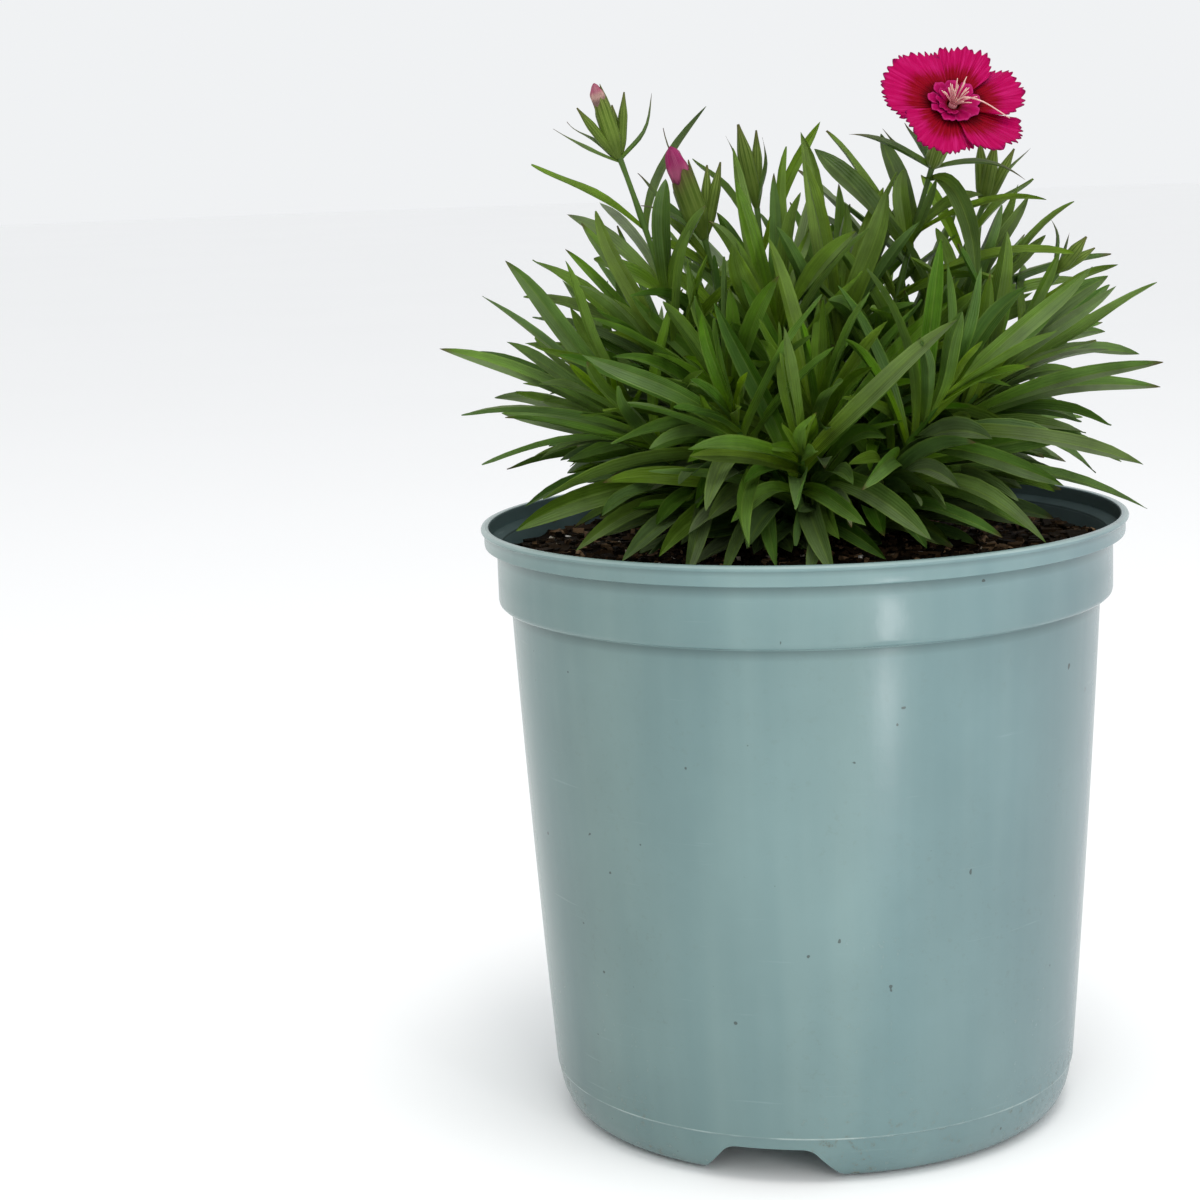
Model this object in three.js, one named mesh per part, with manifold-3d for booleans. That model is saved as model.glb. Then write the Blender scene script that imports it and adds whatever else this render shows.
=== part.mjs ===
// A dianthus (China pink) in a round nursery pot, as a three.js scene graph.
// Millimetres, +Z up. The origin is the centre of the pot's foot, on the surface that it stands on.
// The viewer's side, where the open flower faces, is -Y.
import * as THREE from 'three';
import { mergeVertices } from 'three/addons/utils/BufferGeometryUtils.js';
import Module from 'manifold-3d';

const wasm = await Module();
wasm.setup();

// ---------------------------------------------------------------- driving dimensions

const POT_HEIGHT = 187;
const LIP_RADIUS = 100;
const BAND_RADIUS = 99;
const BAND_BOTTOM = 180.8;
const COLLAR_RADIUS = 95.2;
const COLLAR_BOTTOM = 162;
const BODY_TOP_RADIUS = 91.4;
const BODY_BOW = 0.5;
const SEAM_HEIGHT = 14.4;
const SEAM_RADIUS = 82.5;
const FOOT_RADIUS = 73.6;
const FOOT_WALL = 2;
const PLATE_THICKNESS = 1.6;
const WALL = 1.6;
const POT_SIDES = 36;

// Notches with rounded tops in the foot ring, and drain holes in the raised plate inside it.
const NOTCH_COUNT = 3;
const NOTCH_AZIMUTH = -99.6;
const NOTCH_TOP = 10.7;
const NOTCH_TOP_HALF = 12.8;
const NOTCH_FOOT_HALF = 20.5;
const NOTCH_CORNER = 3.2;
const NOTCH_DEPTH = 14;
const DRAIN_COUNT = 6;
const DRAIN_RING_RADIUS = 46;
const DRAIN_RADIUS = 5;
const DRAIN_SIDES = 8;

const GAP = 0.3;
const SOIL_LEVEL = 176.5;
const SOIL_MOUND = 3.5;
const SOIL_MOUND_RADIUS = 70;
const SOIL_ROUGHNESS = 0.9;
const SOIL_RINGS = [20, 42, 66, 93.2];
const SOIL_SIDES = 20;

const FLOWERING_STEM_SIDES = 5;
const LEAFY_STEM_SIDES = 4;
const STEM_BASE_RADIUS = 1.5;
const STEM_TOP_RADIUS = 0.95;
const STEM_DEPTH = 5;
const STEM_STATIONS = [0, 0.35, 0.7, 1];
const STEM_HOLE_CLEARANCE = 0.9;
const CROWN_SCALE = 0.4;
const CROWN_SPACING = 7.6;
// Where the middle of a stem's curve lies, as shares of its spread and of its height.
const STEM_MIDDLE_SPREAD = 0.4;
const STEM_MIDDLE_HEIGHT = 0.55;

// Width along a leaf and along a bract, as [share of the length, share of the greatest width].
const LEAF_STATIONS = [[0, 0.16], [0.33, 0.86], [0.68, 0.96], [1, 0]];
const BRACT_STATIONS = [[0, 0.5], [0.45, 1], [1, 0]];
const LEAF_THICKNESS = 0.85;
const LEAF_SUNK_DEPTH = 0.3;
const ROOT_OFFSET = 0.55;
// A drawn leaf's upper face looks partly up from the ground and partly towards the viewer's side.
const FACE_UPRIGHT = 0.4;
const FACE_FORWARD = 1.1;

// Leaves keep clear of each other by way of small cells of space, and stay within these distances.
const CELL = 1.2;
const CELL_OFFSET = 300;
const CELL_COUNT = 1024;
const REACH_X = 109;
const REACH_Y = 99;
const REACH_Z = 310;
const SOIL_CLEARANCE = 2;
const LIP_CLEARANCE = 1.2;
// Near its root a leaf may touch the other leaves of its own stem.
const FREE_SHARE = 0.18;

// ---------------------------------------------------------------- the open flower

// The flower faces along the line from its foot to its centre, where the petals spread from the throat.
const FLOWER_FOOT = [42.4, 10.4, 292.4];
const FLOWER_CENTRE = [47.6, -10, 310.2];
// One row a petal: the angle of its middle, half its width in degrees, its reach, and how far its
// corners fall back.
const PETALS = [
  [19, 37, 1, 0.28],
  [80, 37, 0.97, 0.2],
  [155, 52, 1, 0.2],
  [247, 44, 0.94, 0.22],
  [314, 34, 1.03, 0.28],
];
const TOOTH_ANGLE = 8;
const PETAL = {
  radius: 22.4, toothDepth: 1.5, rows: [[3.4, 2], [13, 4]],
  rise: 0, cup: 3.2, pitch: 1.9, thickness: 0.7,
};
// How sharply a petal's corners turn, and how narrow it starts at the throat.
const PETAL_CORNER_POWER = 2.8;
const PETAL_FOOT_SHARE = 0.8;
const RUFF_COUNT = 6;
const RUFF_FIRST_ANGLE = 30;
const RUFF_PETAL = {
  radius: 7.4, halfAngle: 25, reach: 1, fall: 0.1, teeth: 2, toothDepth: 0.5, rows: [[2.4, 2], [4.6, 2]],
  rise: 0.7, cup: 0.4, pitch: 0.3, thickness: 0.65,
};
// The petals and the ruff grow from a small raised disc round the throat.
const EYE_RADIUS = 5.4;
const EYE_BOTTOM = -1.4;
const EYE_TOP = 0.9;
const THROAT_RADIUS = 3;
const THROAT_BORE = 1.9;
const THROAT_DEPTH = 7;
const THROAT_SIDES = 10;
// The green tube behind the petals: [height from the throat, radius].
const CALYX = [[-27.5, 1.3], [-23, 3.6], [-14, 4.3], [-1.7, 4.4]];
// Every other stamen is longer and leans further out: [lean in degrees, length].
const STAMEN_COUNT = 8;
const STAMEN_KINDS = [[30, 7], [14, 5.6]];
const STAMEN_FIRST_ANGLE = 10;
const STAMEN_RADIUS = 0.42;
const STAMEN_SPREAD = 0.7;
const STAMEN_PLUG_RADIUS = 1.5;
// The one long style, from the throat out over the right-hand petal.
const LONG_STYLE = [[0, 0, 0.5], [2, -0.4, 6], [7.5, -1.2, 7.4], [16, -4, 4.8]];

// ---------------------------------------------------------------- buds

// Radius of a bud along it, as shares of its length and greatest radius.
const BUD_STATIONS = [[0, 0.3], [0.25, 0.92], [0.66, 0.9], [1, 0.12]];
const BUD_SIDES = 5;
const BUD_SOCKET = 0.78;
const BUD_SOCKET_DEPTH = 0.2;

// ---------------------------------------------------------------- the plant, shoot by shoot

// Where each stem ends [x, y, z], and its leaves that are placed one by one. A leaf row is
// [place along the stem from 0 to 1, tip x, tip y, tip z, height of its arch, width].
const DRAWN_SHOOTS = [
  {
    name: 'shoot_left_front',
    top: [-50, -29, 221],
    leaves: [
      [0.8, -107, -30, 244.6, 7, 5.8],
      [0.93, -87.7, -25, 268.5, 3, 7.2],
      [0.86, -91.4, -38, 260, 4, 4],
      [0.7, -87, -44, 222.7, 6, 3.8],
      [0.6, -78, -42, 210, 15, 4.2],
      [0.66, -78.6, -15, 227, 5, 7.4],
      [1, -70, -30, 268, 0, 4.6],
      [0.4, -85, -22, 195, 16, 5],
      [0.3, -74, -40, 192, 14, 6],
      [0.24, -66, -50, 185.5, 16, 6.4],
      [0.16, -52.5, -57, 184.5, 14, 7],
      [0.3, -41.5, -50, 193, 12, 7],
    ],
  },
  {
    name: 'shoot_far_left',
    top: [-40, -17, 238],
    leaves: [
      [0.92, -79.9, -8, 268.2, 4, 6.4],
      [1, -59.5, -21, 283, 0, 7.4],
      [0.97, -64, -14, 279.5, 6, 5.2],
      [0.86, -71.6, 8, 269.6, 8, 3.6],
      [0.6, -67, -10, 206.8, 16, 4.6],
    ],
  },
  {
    name: 'shoot_left_mid',
    top: [-21, -30, 228],
    leaves: [
      [0.66, -69, -54, 242, 8, 6.6],
      [0.52, -50.9, -64, 243, 18, 5.6],
      [0.97, -29, -44, 257, 0, 4.8],
      [1, -18.6, -40, 260, 0, 5],
      [0.72, -77, -46, 245, 6, 5.2],
      [0.36, -29.8, -70, 214, 12, 6.6],
      [0.28, -31, -62, 198.5, 16, 8.4],
      [0.18, -40, -66, 185, 18, 8.4],
      [0.1, -29.4, -68, 185, 16, 8.4],
    ],
  },
  {
    name: 'shoot_mid',
    top: [-7, -13, 248],
    leaves: [
      [1, -1.7, -8, 300, 0, 5],
      [0.96, 1.6, -28, 287, 3, 6.8],
      [0.9, -16.5, -22, 290.5, 0, 7.4],
    ],
  },
  {
    name: 'shoot_front_mid',
    top: [5, -37, 221],
    leaves: [
      [0.7, 18.9, -64, 238, 8, 5.4],
      [0.9, -17, -50, 263, 6, 5],
      [1, 9.6, -44, 256, 0, 5.4],
      [0.62, -12, -66, 246, 12, 6],
      [0.42, 24.4, -66, 219, 12, 6.6],
      [0.34, -14.8, -70, 207, 14, 6.8],
      [0.28, 13.7, -74, 208, 12, 8],
      [0.15, 8.7, -72, 184.5, 22, 10.5],
      [0.1, -22.9, -71.6, 184.5, 18, 7],
      [0.08, -14, -60, 186.5, 12, 6.4],
    ],
  },
  {
    name: 'shoot_top_mid',
    top: [13, -5, 246],
    leaves: [
      [1, 2, -10, 303.7, 4, 7.8],
      [0.92, 28.1, -24, 286.5, 2, 8.2],
      [0.96, 26.8, 4, 287, 2, 6.4],
    ],
  },
  {
    name: 'shoot_right_front',
    top: [43, -36, 227],
    leaves: [
      [0.72, 41.9, -44, 272, -3, 6.4],
      [1, 64.8, -50, 258.4, 4, 6.6],
      [0.5, 86.7, -42, 203.8, 25, 6.6],
      [0.4, 101.5, -36, 191.5, 14, 4.8],
      [0.62, 13.3, -66, 245, 14, 6],
      [0.36, 9, -80, 200.5, 18, 10],
      [0.3, 70.5, -66, 186, 18, 7.4],
      [0.16, 56.5, -60, 187.5, 14, 6.4],
      [0.12, 23.3, -62, 188, 14, 8],
      [0.1, 35.3, -62, 184.5, 14, 6.8],
    ],
  },
  {
    name: 'shoot_right_mid',
    top: [58, -12, 229],
    leaves: [
      [0.98, 91.5, -18, 259.5, 6, 9],
      [0.9, 108.6, -10, 254, 4, 5.8],
      [0.82, 94.4, 0, 235.1, 8, 5],
      [0.76, 85.4, -10, 228.7, 8, 5.4],
      [0.66, 106.7, -25, 226.5, 11, 6.6],
      [0.6, 84, -34, 213, 10, 4.8],
    ],
  },
  {
    name: 'shoot_right_back',
    top: [50, 7, 246],
    leaves: [
      [1, 69.9, 4, 283.3, 0, 5.4],
      [0.95, 83.9, -2, 280.1, 5, 4.4],
      [0.9, 76.3, 6, 270.8, 4, 5],
      [0.8, 72, -2, 192.4, 34, 6.4],
    ],
  },
];

// Flowering stems: where each ends, leaf rows as above, and what it carries. A bud row is
// [foot x, y, z, tip x, y, z, radius], and where its petals show, how far up the green ends and their
// name. A bract row is [foot x, y, z, tip x, y, z, arch, width].
const FLOWERING_SHOOTS = [
  {
    name: 'stem_open_flower',
    open: true,
    top: FLOWER_FOOT,
    leaves: [
      [0.78, 12, -8, 303, 2, 5.2],
      [0.8, 75.8, -2, 281.2, 9, 3],
      [0.79, 58, 8, 283, 8, 5.6],
    ],
    buds: [],
    bracts: [
      [42.4, 10.2, 291.4, 16.5, 0, 303.5, 4, 3],
      [42.4, 10.2, 291.4, 26.4, 8, 303.4, 1, 2.6],
      [42.4, 10.2, 291.4, 70.5, 6, 287.8, 7, 2.4],
      [42.4, 10.2, 291.4, 35.5, 12, 306, 0, 3.2],
      [42.4, 10.2, 291.4, 52, 14, 303, 0, 3.2],
    ],
  },
  {
    name: 'stem_bud_left',
    top: [-52.5, -12, 299],
    leaves: [
      [0.8, -78.3, -14, 298.2, 3, 3.4],
      [0.62, -62, -4, 268, 4, 6],
      [0.5, -17, -30, 263, 2, 5.2],
      [0.79, -27, 7, 312, 3, 3.2],
    ],
    buds: [
      [-52.5, -12, 298, -59.3, -12, 320.5, 2.9, 0.74, 'bud_petals_left'],
      [-53, -12.4, 298, -64.4, -15, 313.4, 1.6],
      [-52, -11, 298, -50.6, -7, 317.7, 1.6],
      [-52, -11, 298, -54.5, -5.6, 314, 1.7],
    ],
    bracts: [
      [-52.5, -12, 297, -71.3, -17, 308.3, -2, 1.8],
      [-52.5, -12, 297, -67.5, -8, 310.8, -2, 1.6],
      [-52.5, -12, 297, -40.5, -11, 316.1, -3, 1.8],
    ],
  },
  {
    name: 'stem_bud_pink',
    top: [-27.7, 0, 272.5],
    leaves: [
      [0.9, -43.4, 8, 283, 6, 3.6],
      [0.7, -46, 12, 268, 4, 5.6],
    ],
    buds: [
      [-28, 0, 273, -37.4, -3.6, 301, 4.3, 0.58, 'bud_petals_pink'],
      [-27.4, 1, 273, -26.6, 5, 295, 1.9],
      [-27.4, 1, 273, -22.4, 3, 295.8, 1.9],
    ],
    bracts: [
      [-27.7, 0, 272, -38.5, 6, 307, 0, 2.6],
      [-27.7, 0, 272, -48.6, -5, 292, 2, 4.2],
      [-27.7, 0, 272, -46.8, -9, 284.8, 4, 2.2],
    ],
  },
  {
    name: 'stem_bud_mid',
    top: [-11.8, 18, 281],
    leaves: [
      [0.88, -30.5, 12, 297.8, 4, 3.2],
      [0.86, 6.8, 20, 308, 3, 4],
    ],
    buds: [
      [-11.8, 18, 281, -17, 16, 307, 2.7],
      [-11.6, 18, 281, -11.5, 20.5, 305, 1.9],
    ],
    bracts: [
      [-11.8, 18, 280, -21, 15, 303.5, -1, 2],
      [-11.8, 18, 280, -8.5, 14, 303, -1, 2.2],
    ],
  },
  {
    name: 'stem_bud_back',
    top: [58.6, 24, 279],
    leaves: [
      [0.9, 73, 20, 288, 3, 4.2],
      [0.84, 40, 32, 290, 3, 4.6],
    ],
    buds: [
      [58.6, 24, 279, 62.5, 21, 299, 2.4],
      [58.6, 24, 279, 58, 25, 299.5, 2.2],
      [59, 24, 279, 68.5, 25, 296.5, 2],
    ],
    bracts: [
      [58.6, 24, 278, 72, 28, 297.5, -2, 2.2],
      [58.6, 24, 278, 62, 33, 296, -1, 2.2],
    ],
  },
  {
    name: 'stem_bud_right',
    top: [79.5, 4, 258.5],
    leaves: [
      [0.9, 95.9, -1, 263, -2, 3],
      [0.8, 70, 24, 262, 4, 4.6],
    ],
    buds: [
      [79.6, 4, 259, 88.2, 2, 269.6, 2.2],
      [79.6, 4.4, 259, 91.4, 8.6, 265.8, 1.6],
    ],
    bracts: [
      [79.5, 4, 258, 78.3, 5.5, 275.8, 0, 1.8],
      [79.5, 4, 258, 83.3, 8, 270.4, -1, 2],
    ],
  },
];

// The other leafy shoots fill the rest of the crown on a sunflower spiral.
const SPIRAL_COUNT = 38;
const SPIRAL_RADIUS = 63;
const SPIRAL_CLEARANCE = 18;
const GOLDEN_ANGLE = 137.508;
const DOME_TOP = 250;
const DOME_DROP = 38;

// Pairs of leaves from the top of a leafy stem down: [place, length, width, angle from the stem, bend].
const LEAFY_PAIRS = [
  [1, 44, 5.4, 12, 8],
  [0.88, 60, 6.8, 26, 20],
  [0.7, 70, 7.4, 36, 30],
  [0.5, 68, 7.8, 47, 42],
];
// Within this distance of the middle the other shoots hide a stem's low leaves, so they are left out.
const CROWDED_RADIUS = 34;
const CROWDED_PAIRS = 3;
const FLOWERING_PAIRS = [
  [0.62, 48, 6, 40, 22],
  [0.42, 56, 7.6, 54, 32],
];
const PAIR_TRIES = 36;

// Rings of low leaves round the crown: [count, place on the stem, rise, length, width, bend].
const SKIRT_ROWS = [
  [18, 0.1, 36, 50, 7.8, 52],
  [18, 0.24, 42, 58, 7.6, 60],
  [14, 0.38, 50, 54, 7.4, 66],
];
const SKIRT_TRIES = 30;

// ---------------------------------------------------------------- colours

const material = (color, roughness) => new THREE.MeshStandardMaterial({ color, roughness, metalness: 0 });
const potPlastic = () => material(0x89a5a1, 0.45);
const peat = () => material(0x2b1c14, 0.95);
const leafGreen = () => material(0x4d7a24, 0.5);
const stemGreen = () => material(0x6b8c3f, 0.5);
const petalMagenta = () => material(0xc0135c, 0.6);
const budPink = () => material(0xb0486e, 0.6);
const stamenPink = () => material(0xe2a0ae, 0.6);

// ---------------------------------------------------------------- small tools

const radians = (degrees) => (degrees * Math.PI) / 180;
const vector = (values) => new THREE.Vector3(...values);

// A seeded source of random numbers from 0 to 1.
function seededRandom(seed) {
  let state = (seed * 7919 + 12345) % 2147483647;
  return () => {
    state = (state * 16807) % 2147483647;
    return state / 2147483647;
  };
}

// A three.js geometry, or lists of corners and triangles, as a solid.
function solidFromTriangles(corners, triangles) {
  let volume = 0;
  const at = (index) => corners.slice(index * 3, index * 3 + 3);
  for (let i = 0; i < triangles.length; i += 3) {
    const [ax, ay, az] = at(triangles[i]);
    const [bx, by, bz] = at(triangles[i + 1]);
    const [cx, cy, cz] = at(triangles[i + 2]);
    volume += ax * (by * cz - bz * cy) - ay * (bx * cz - bz * cx) + az * (bx * cy - by * cx);
  }
  const outward = volume < 0 ? triangles.slice().reverse() : triangles;
  const mesh = new wasm.Mesh({
    numProp: 3,
    vertProperties: new Float32Array(corners),
    triVerts: new Uint32Array(outward),
  });
  return new wasm.Manifold(mesh);
}

function solidFromGeometry(geometry) {
  geometry.deleteAttribute('normal');
  geometry.deleteAttribute('uv');
  const merged = mergeVertices(geometry, 1e-4);
  const index = merged.index.array;
  const triangles = [];
  for (let i = 0; i < index.length; i += 3) {
    const [a, b, c] = index.slice(i, i + 3);
    if (a !== b && b !== c && c !== a) {
      triangles.push(a, b, c);
    }
  }
  return solidFromTriangles(Array.from(merged.attributes.position.array), triangles);
}

function meshFromSolid(name, solid, surface) {
  const data = solid.getMesh();
  const geometry = new THREE.BufferGeometry();
  geometry.setAttribute('position', new THREE.BufferAttribute(data.vertProperties, 3));
  geometry.setIndex(new THREE.BufferAttribute(data.triVerts, 1));
  geometry.computeVertexNormals();
  const mesh = new THREE.Mesh(geometry, surface);
  mesh.name = name;
  return mesh;
}

// A body of revolution about Z from [radius, height] points that start and end on the axis.
function revolved(profile, sides) {
  const points = profile.map(([radius, height]) => new THREE.Vector2(radius, height));
  const geometry = new THREE.LatheGeometry(points, sides);
  geometry.rotateX(Math.PI / 2);
  return solidFromGeometry(geometry);
}

// Two directions square to a given one.
function sideAxes(direction) {
  const helper = Math.abs(direction.z) < 0.9 ? new THREE.Vector3(0, 0, 1) : new THREE.Vector3(0, 1, 0);
  const first = new THREE.Vector3().crossVectors(helper, direction).normalize();
  const second = new THREE.Vector3().crossVectors(direction, first);
  return [first, second];
}

// A closed tube through a list of points with a radius at each, such as a stem or a bud.
function spindle(points, radii, sides) {
  const corners = [];
  const triangles = [];
  const last = points.length - 1;
  points.forEach((point, ring) => {
    const before = points[Math.max(ring - 1, 0)];
    const after = points[Math.min(ring + 1, last)];
    const along = new THREE.Vector3().subVectors(after, before).normalize();
    const [first, second] = sideAxes(along);
    for (let side = 0; side < sides; side += 1) {
      const angle = (side / sides) * 2 * Math.PI;
      const corner = point.clone();
      corner.addScaledVector(first, radii[ring] * Math.cos(angle));
      corner.addScaledVector(second, radii[ring] * Math.sin(angle));
      corners.push(corner.x, corner.y, corner.z);
    }
  });
  for (let ring = 0; ring < last; ring += 1) {
    for (let side = 0; side < sides; side += 1) {
      const next = (side + 1) % sides;
      const low = ring * sides;
      const high = low + sides;
      triangles.push(low + side, low + next, high + side);
      triangles.push(low + next, high + next, high + side);
    }
  }
  for (let side = 1; side < sides - 1; side += 1) {
    const high = last * sides;
    triangles.push(0, side + 1, side);
    triangles.push(high, high + side, high + side + 1);
  }
  return solidFromTriangles(corners, triangles);
}

// ---------------------------------------------------------------- pot

function bodyRadius(height) {
  const share = (height - SEAM_HEIGHT) / (COLLAR_BOTTOM - SEAM_HEIGHT);
  const bow = BODY_BOW * 4 * share * (1 - share);
  return SEAM_RADIUS + (BODY_TOP_RADIUS - SEAM_RADIUS) * share + bow;
}

// Half of the pot's section as [radius, height], from under the plate round the outside to the inside.
function potProfile() {
  const middle = (SEAM_HEIGHT + COLLAR_BOTTOM) / 2;
  const plateTop = SEAM_HEIGHT + 0.2;
  const plateBottom = plateTop - PLATE_THICKNESS;
  return [
    [0, plateBottom],
    [SEAM_RADIUS - 2.6, plateBottom],
    [FOOT_RADIUS - FOOT_WALL, 0],
    [FOOT_RADIUS, 0],
    [FOOT_RADIUS + 4.2, 2],
    [SEAM_RADIUS - 1.7, SEAM_HEIGHT / 2],
    [SEAM_RADIUS - 0.4, SEAM_HEIGHT - 0.6],
    [SEAM_RADIUS, SEAM_HEIGHT],
    [bodyRadius(middle), middle],
    [BODY_TOP_RADIUS, COLLAR_BOTTOM],
    [COLLAR_RADIUS, COLLAR_BOTTOM + 1.6],
    [COLLAR_RADIUS, BAND_BOTTOM - 0.4],
    [BAND_RADIUS, BAND_BOTTOM + 0.4],
    [BAND_RADIUS, POT_HEIGHT - 1.9],
    [LIP_RADIUS, POT_HEIGHT - 1.3],
    [LIP_RADIUS - 0.5, POT_HEIGHT],
    [BAND_RADIUS - WALL, POT_HEIGHT - 0.3],
    [BAND_RADIUS - WALL, BAND_BOTTOM + 1.6],
    [COLLAR_RADIUS - WALL, BAND_BOTTOM - 0.2],
    [COLLAR_RADIUS - WALL, COLLAR_BOTTOM + 1.8],
    [BODY_TOP_RADIUS - WALL, COLLAR_BOTTOM - 1.2],
    [SEAM_RADIUS - WALL, plateTop],
    [0, plateTop],
  ];
}

// One of the rounded-top cuts through the foot ring.
function notchCutter(azimuth) {
  const slope = new THREE.Vector2(NOTCH_TOP_HALF - NOTCH_FOOT_HALF, NOTCH_TOP).normalize();
  const cornerX = NOTCH_TOP_HALF - slope.x * NOTCH_CORNER;
  const cornerY = NOTCH_TOP - slope.y * NOTCH_CORNER;
  const shape = new THREE.Shape();
  shape.moveTo(-NOTCH_FOOT_HALF, -1);
  shape.lineTo(-NOTCH_FOOT_HALF, 0);
  shape.lineTo(-cornerX, cornerY);
  shape.quadraticCurveTo(-NOTCH_TOP_HALF, NOTCH_TOP, NOTCH_CORNER - NOTCH_TOP_HALF, NOTCH_TOP);
  shape.lineTo(NOTCH_TOP_HALF - NOTCH_CORNER, NOTCH_TOP);
  shape.quadraticCurveTo(NOTCH_TOP_HALF, NOTCH_TOP, cornerX, cornerY);
  shape.lineTo(NOTCH_FOOT_HALF, 0);
  shape.lineTo(NOTCH_FOOT_HALF, -1);
  const depth = 3 * NOTCH_DEPTH;
  const geometry = new THREE.ExtrudeGeometry(shape, { depth, bevelEnabled: false, curveSegments: 2 });
  geometry.rotateX(Math.PI / 2);
  geometry.rotateZ(Math.PI / 2);
  geometry.translate(FOOT_RADIUS - NOTCH_DEPTH, 0, 0);
  geometry.rotateZ(radians(azimuth));
  return solidFromGeometry(geometry);
}

function makePot() {
  let pot = revolved(potProfile(), POT_SIDES);
  for (let i = 0; i < NOTCH_COUNT; i += 1) {
    pot = pot.subtract(notchCutter(NOTCH_AZIMUTH + (i * 360) / NOTCH_COUNT));
  }
  for (let i = 0; i < DRAIN_COUNT; i += 1) {
    const hole = new THREE.CylinderGeometry(DRAIN_RADIUS, DRAIN_RADIUS, 6 * PLATE_THICKNESS, DRAIN_SIDES);
    hole.rotateX(Math.PI / 2);
    hole.translate(DRAIN_RING_RADIUS, 0, SEAM_HEIGHT);
    hole.rotateZ(radians((i * 360) / DRAIN_COUNT));
    pot = pot.subtract(solidFromGeometry(hole));
  }
  return pot;
}

// ---------------------------------------------------------------- soil

function soilHeight(x, y) {
  const share = (x * x + y * y) / (SOIL_MOUND_RADIUS * SOIL_MOUND_RADIUS);
  return SOIL_LEVEL + SOIL_MOUND * Math.max(0, 1 - share);
}

// The peat fills the pot up to a rough, slightly mounded top.
function makeSoil(shoots) {
  const random = seededRandom(5);
  const corners = [0, 0, soilHeight(0, 0)];
  const triangles = [];
  const clearance = WALL + GAP + 0.1;
  const bottomHeight = SEAM_HEIGHT + 0.6;
  const sideRings = [
    [COLLAR_RADIUS - clearance, COLLAR_BOTTOM + 2.4],
    [BODY_TOP_RADIUS - clearance, COLLAR_BOTTOM - 1],
    [SEAM_RADIUS - clearance, bottomHeight],
  ];
  const place = (radius, angle, height) => {
    corners.push(radius * Math.cos(angle), radius * Math.sin(angle), height);
  };
  SOIL_RINGS.forEach((radius) => {
    for (let side = 0; side < SOIL_SIDES; side += 1) {
      const angle = (side / SOIL_SIDES) * 2 * Math.PI;
      const lift = (random() - 0.5) * 2 * SOIL_ROUGHNESS;
      place(radius, angle, soilHeight(radius * Math.cos(angle), radius * Math.sin(angle)) + lift);
    }
  });
  sideRings.forEach(([radius, height]) => {
    for (let side = 0; side < SOIL_SIDES; side += 1) {
      place(radius, (side / SOIL_SIDES) * 2 * Math.PI, height);
    }
  });
  const underside = corners.length / 3;
  corners.push(0, 0, bottomHeight);
  const ringCount = SOIL_RINGS.length + sideRings.length;
  for (let side = 0; side < SOIL_SIDES; side += 1) {
    const next = (side + 1) % SOIL_SIDES;
    triangles.push(0, 1 + side, 1 + next);
    for (let ring = 1; ring < ringCount; ring += 1) {
      const inner = 1 + (ring - 1) * SOIL_SIDES;
      const outer = inner + SOIL_SIDES;
      triangles.push(inner + side, outer + side, outer + next);
      triangles.push(inner + side, outer + next, inner + next);
    }
    const lowest = 1 + (ringCount - 1) * SOIL_SIDES;
    triangles.push(lowest + side, underside, lowest + next);
  }
  let soil = solidFromTriangles(corners, triangles);
  shoots.forEach((shoot) => {
    const bottom = shoot.foot.clone().setZ(shoot.foot.z - STEM_DEPTH - GAP);
    const top = shoot.foot.clone().setZ(shoot.foot.z + STEM_DEPTH);
    const radius = STEM_BASE_RADIUS + STEM_HOLE_CLEARANCE;
    soil = soil.subtract(spindle([bottom, top], [radius, radius], stemSides(shoot)));
  });
  return soil;
}

// ---------------------------------------------------------------- where stems and leaves go

function stemRadius(place) {
  return STEM_BASE_RADIUS + (STEM_TOP_RADIUS - STEM_BASE_RADIUS) * place;
}

function quadratic(curve, t) {
  const [a, b, c] = curve;
  const u = 1 - t;
  return new THREE.Vector3()
    .addScaledVector(a, u * u)
    .addScaledVector(b, 2 * u * t)
    .addScaledVector(c, t * t);
}

function quadraticSlope(curve, t) {
  const [a, b, c] = curve;
  const first = new THREE.Vector3().subVectors(b, a).multiplyScalar(1 - t);
  const second = new THREE.Vector3().subVectors(c, b).multiplyScalar(t);
  return first.add(second).normalize();
}

// Stems on a sunflower spiral wherever none of the drawn ones is near.
function spiralShoots(drawn) {
  const shoots = [];
  for (let i = 0; i < SPIRAL_COUNT; i += 1) {
    const radius = SPIRAL_RADIUS * Math.sqrt((i + 0.5) / SPIRAL_COUNT);
    const angle = radians(i * GOLDEN_ANGLE);
    const x = radius * Math.cos(angle);
    const y = radius * Math.sin(angle);
    const clear = drawn.every(({ top }) => Math.hypot(top[0] - x, top[1] - y) > SPIRAL_CLEARANCE);
    const height = DOME_TOP - DOME_DROP * (radius / SPIRAL_RADIUS) ** 2;
    if (clear) {
      shoots.push({ name: `shoot_${shoots.length + 1}`, top: [x, y, height], leaves: [] });
    }
  }
  return shoots;
}

// The stems' feet are the tops drawn in towards the crown, then eased apart until none are too close.
function spreadFeet(shoots) {
  shoots.forEach((shoot) => {
    shoot.foot = new THREE.Vector3(shoot.top[0] * CROWN_SCALE, shoot.top[1] * CROWN_SCALE, 0);
  });
  for (let pass = 0; pass < 60; pass += 1) {
    shoots.forEach((one, i) => {
      shoots.slice(i + 1).forEach((other) => {
        const apart = new THREE.Vector3().subVectors(other.foot, one.foot);
        const push = (CROWN_SPACING - apart.length()) / 2;
        if (push > 0) {
          apart.normalize();
          one.foot.addScaledVector(apart, -push);
          other.foot.addScaledVector(apart, push);
        }
      });
    });
  }
  shoots.forEach((shoot) => {
    shoot.foot.z = soilHeight(shoot.foot.x, shoot.foot.y);
  });
}

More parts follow.
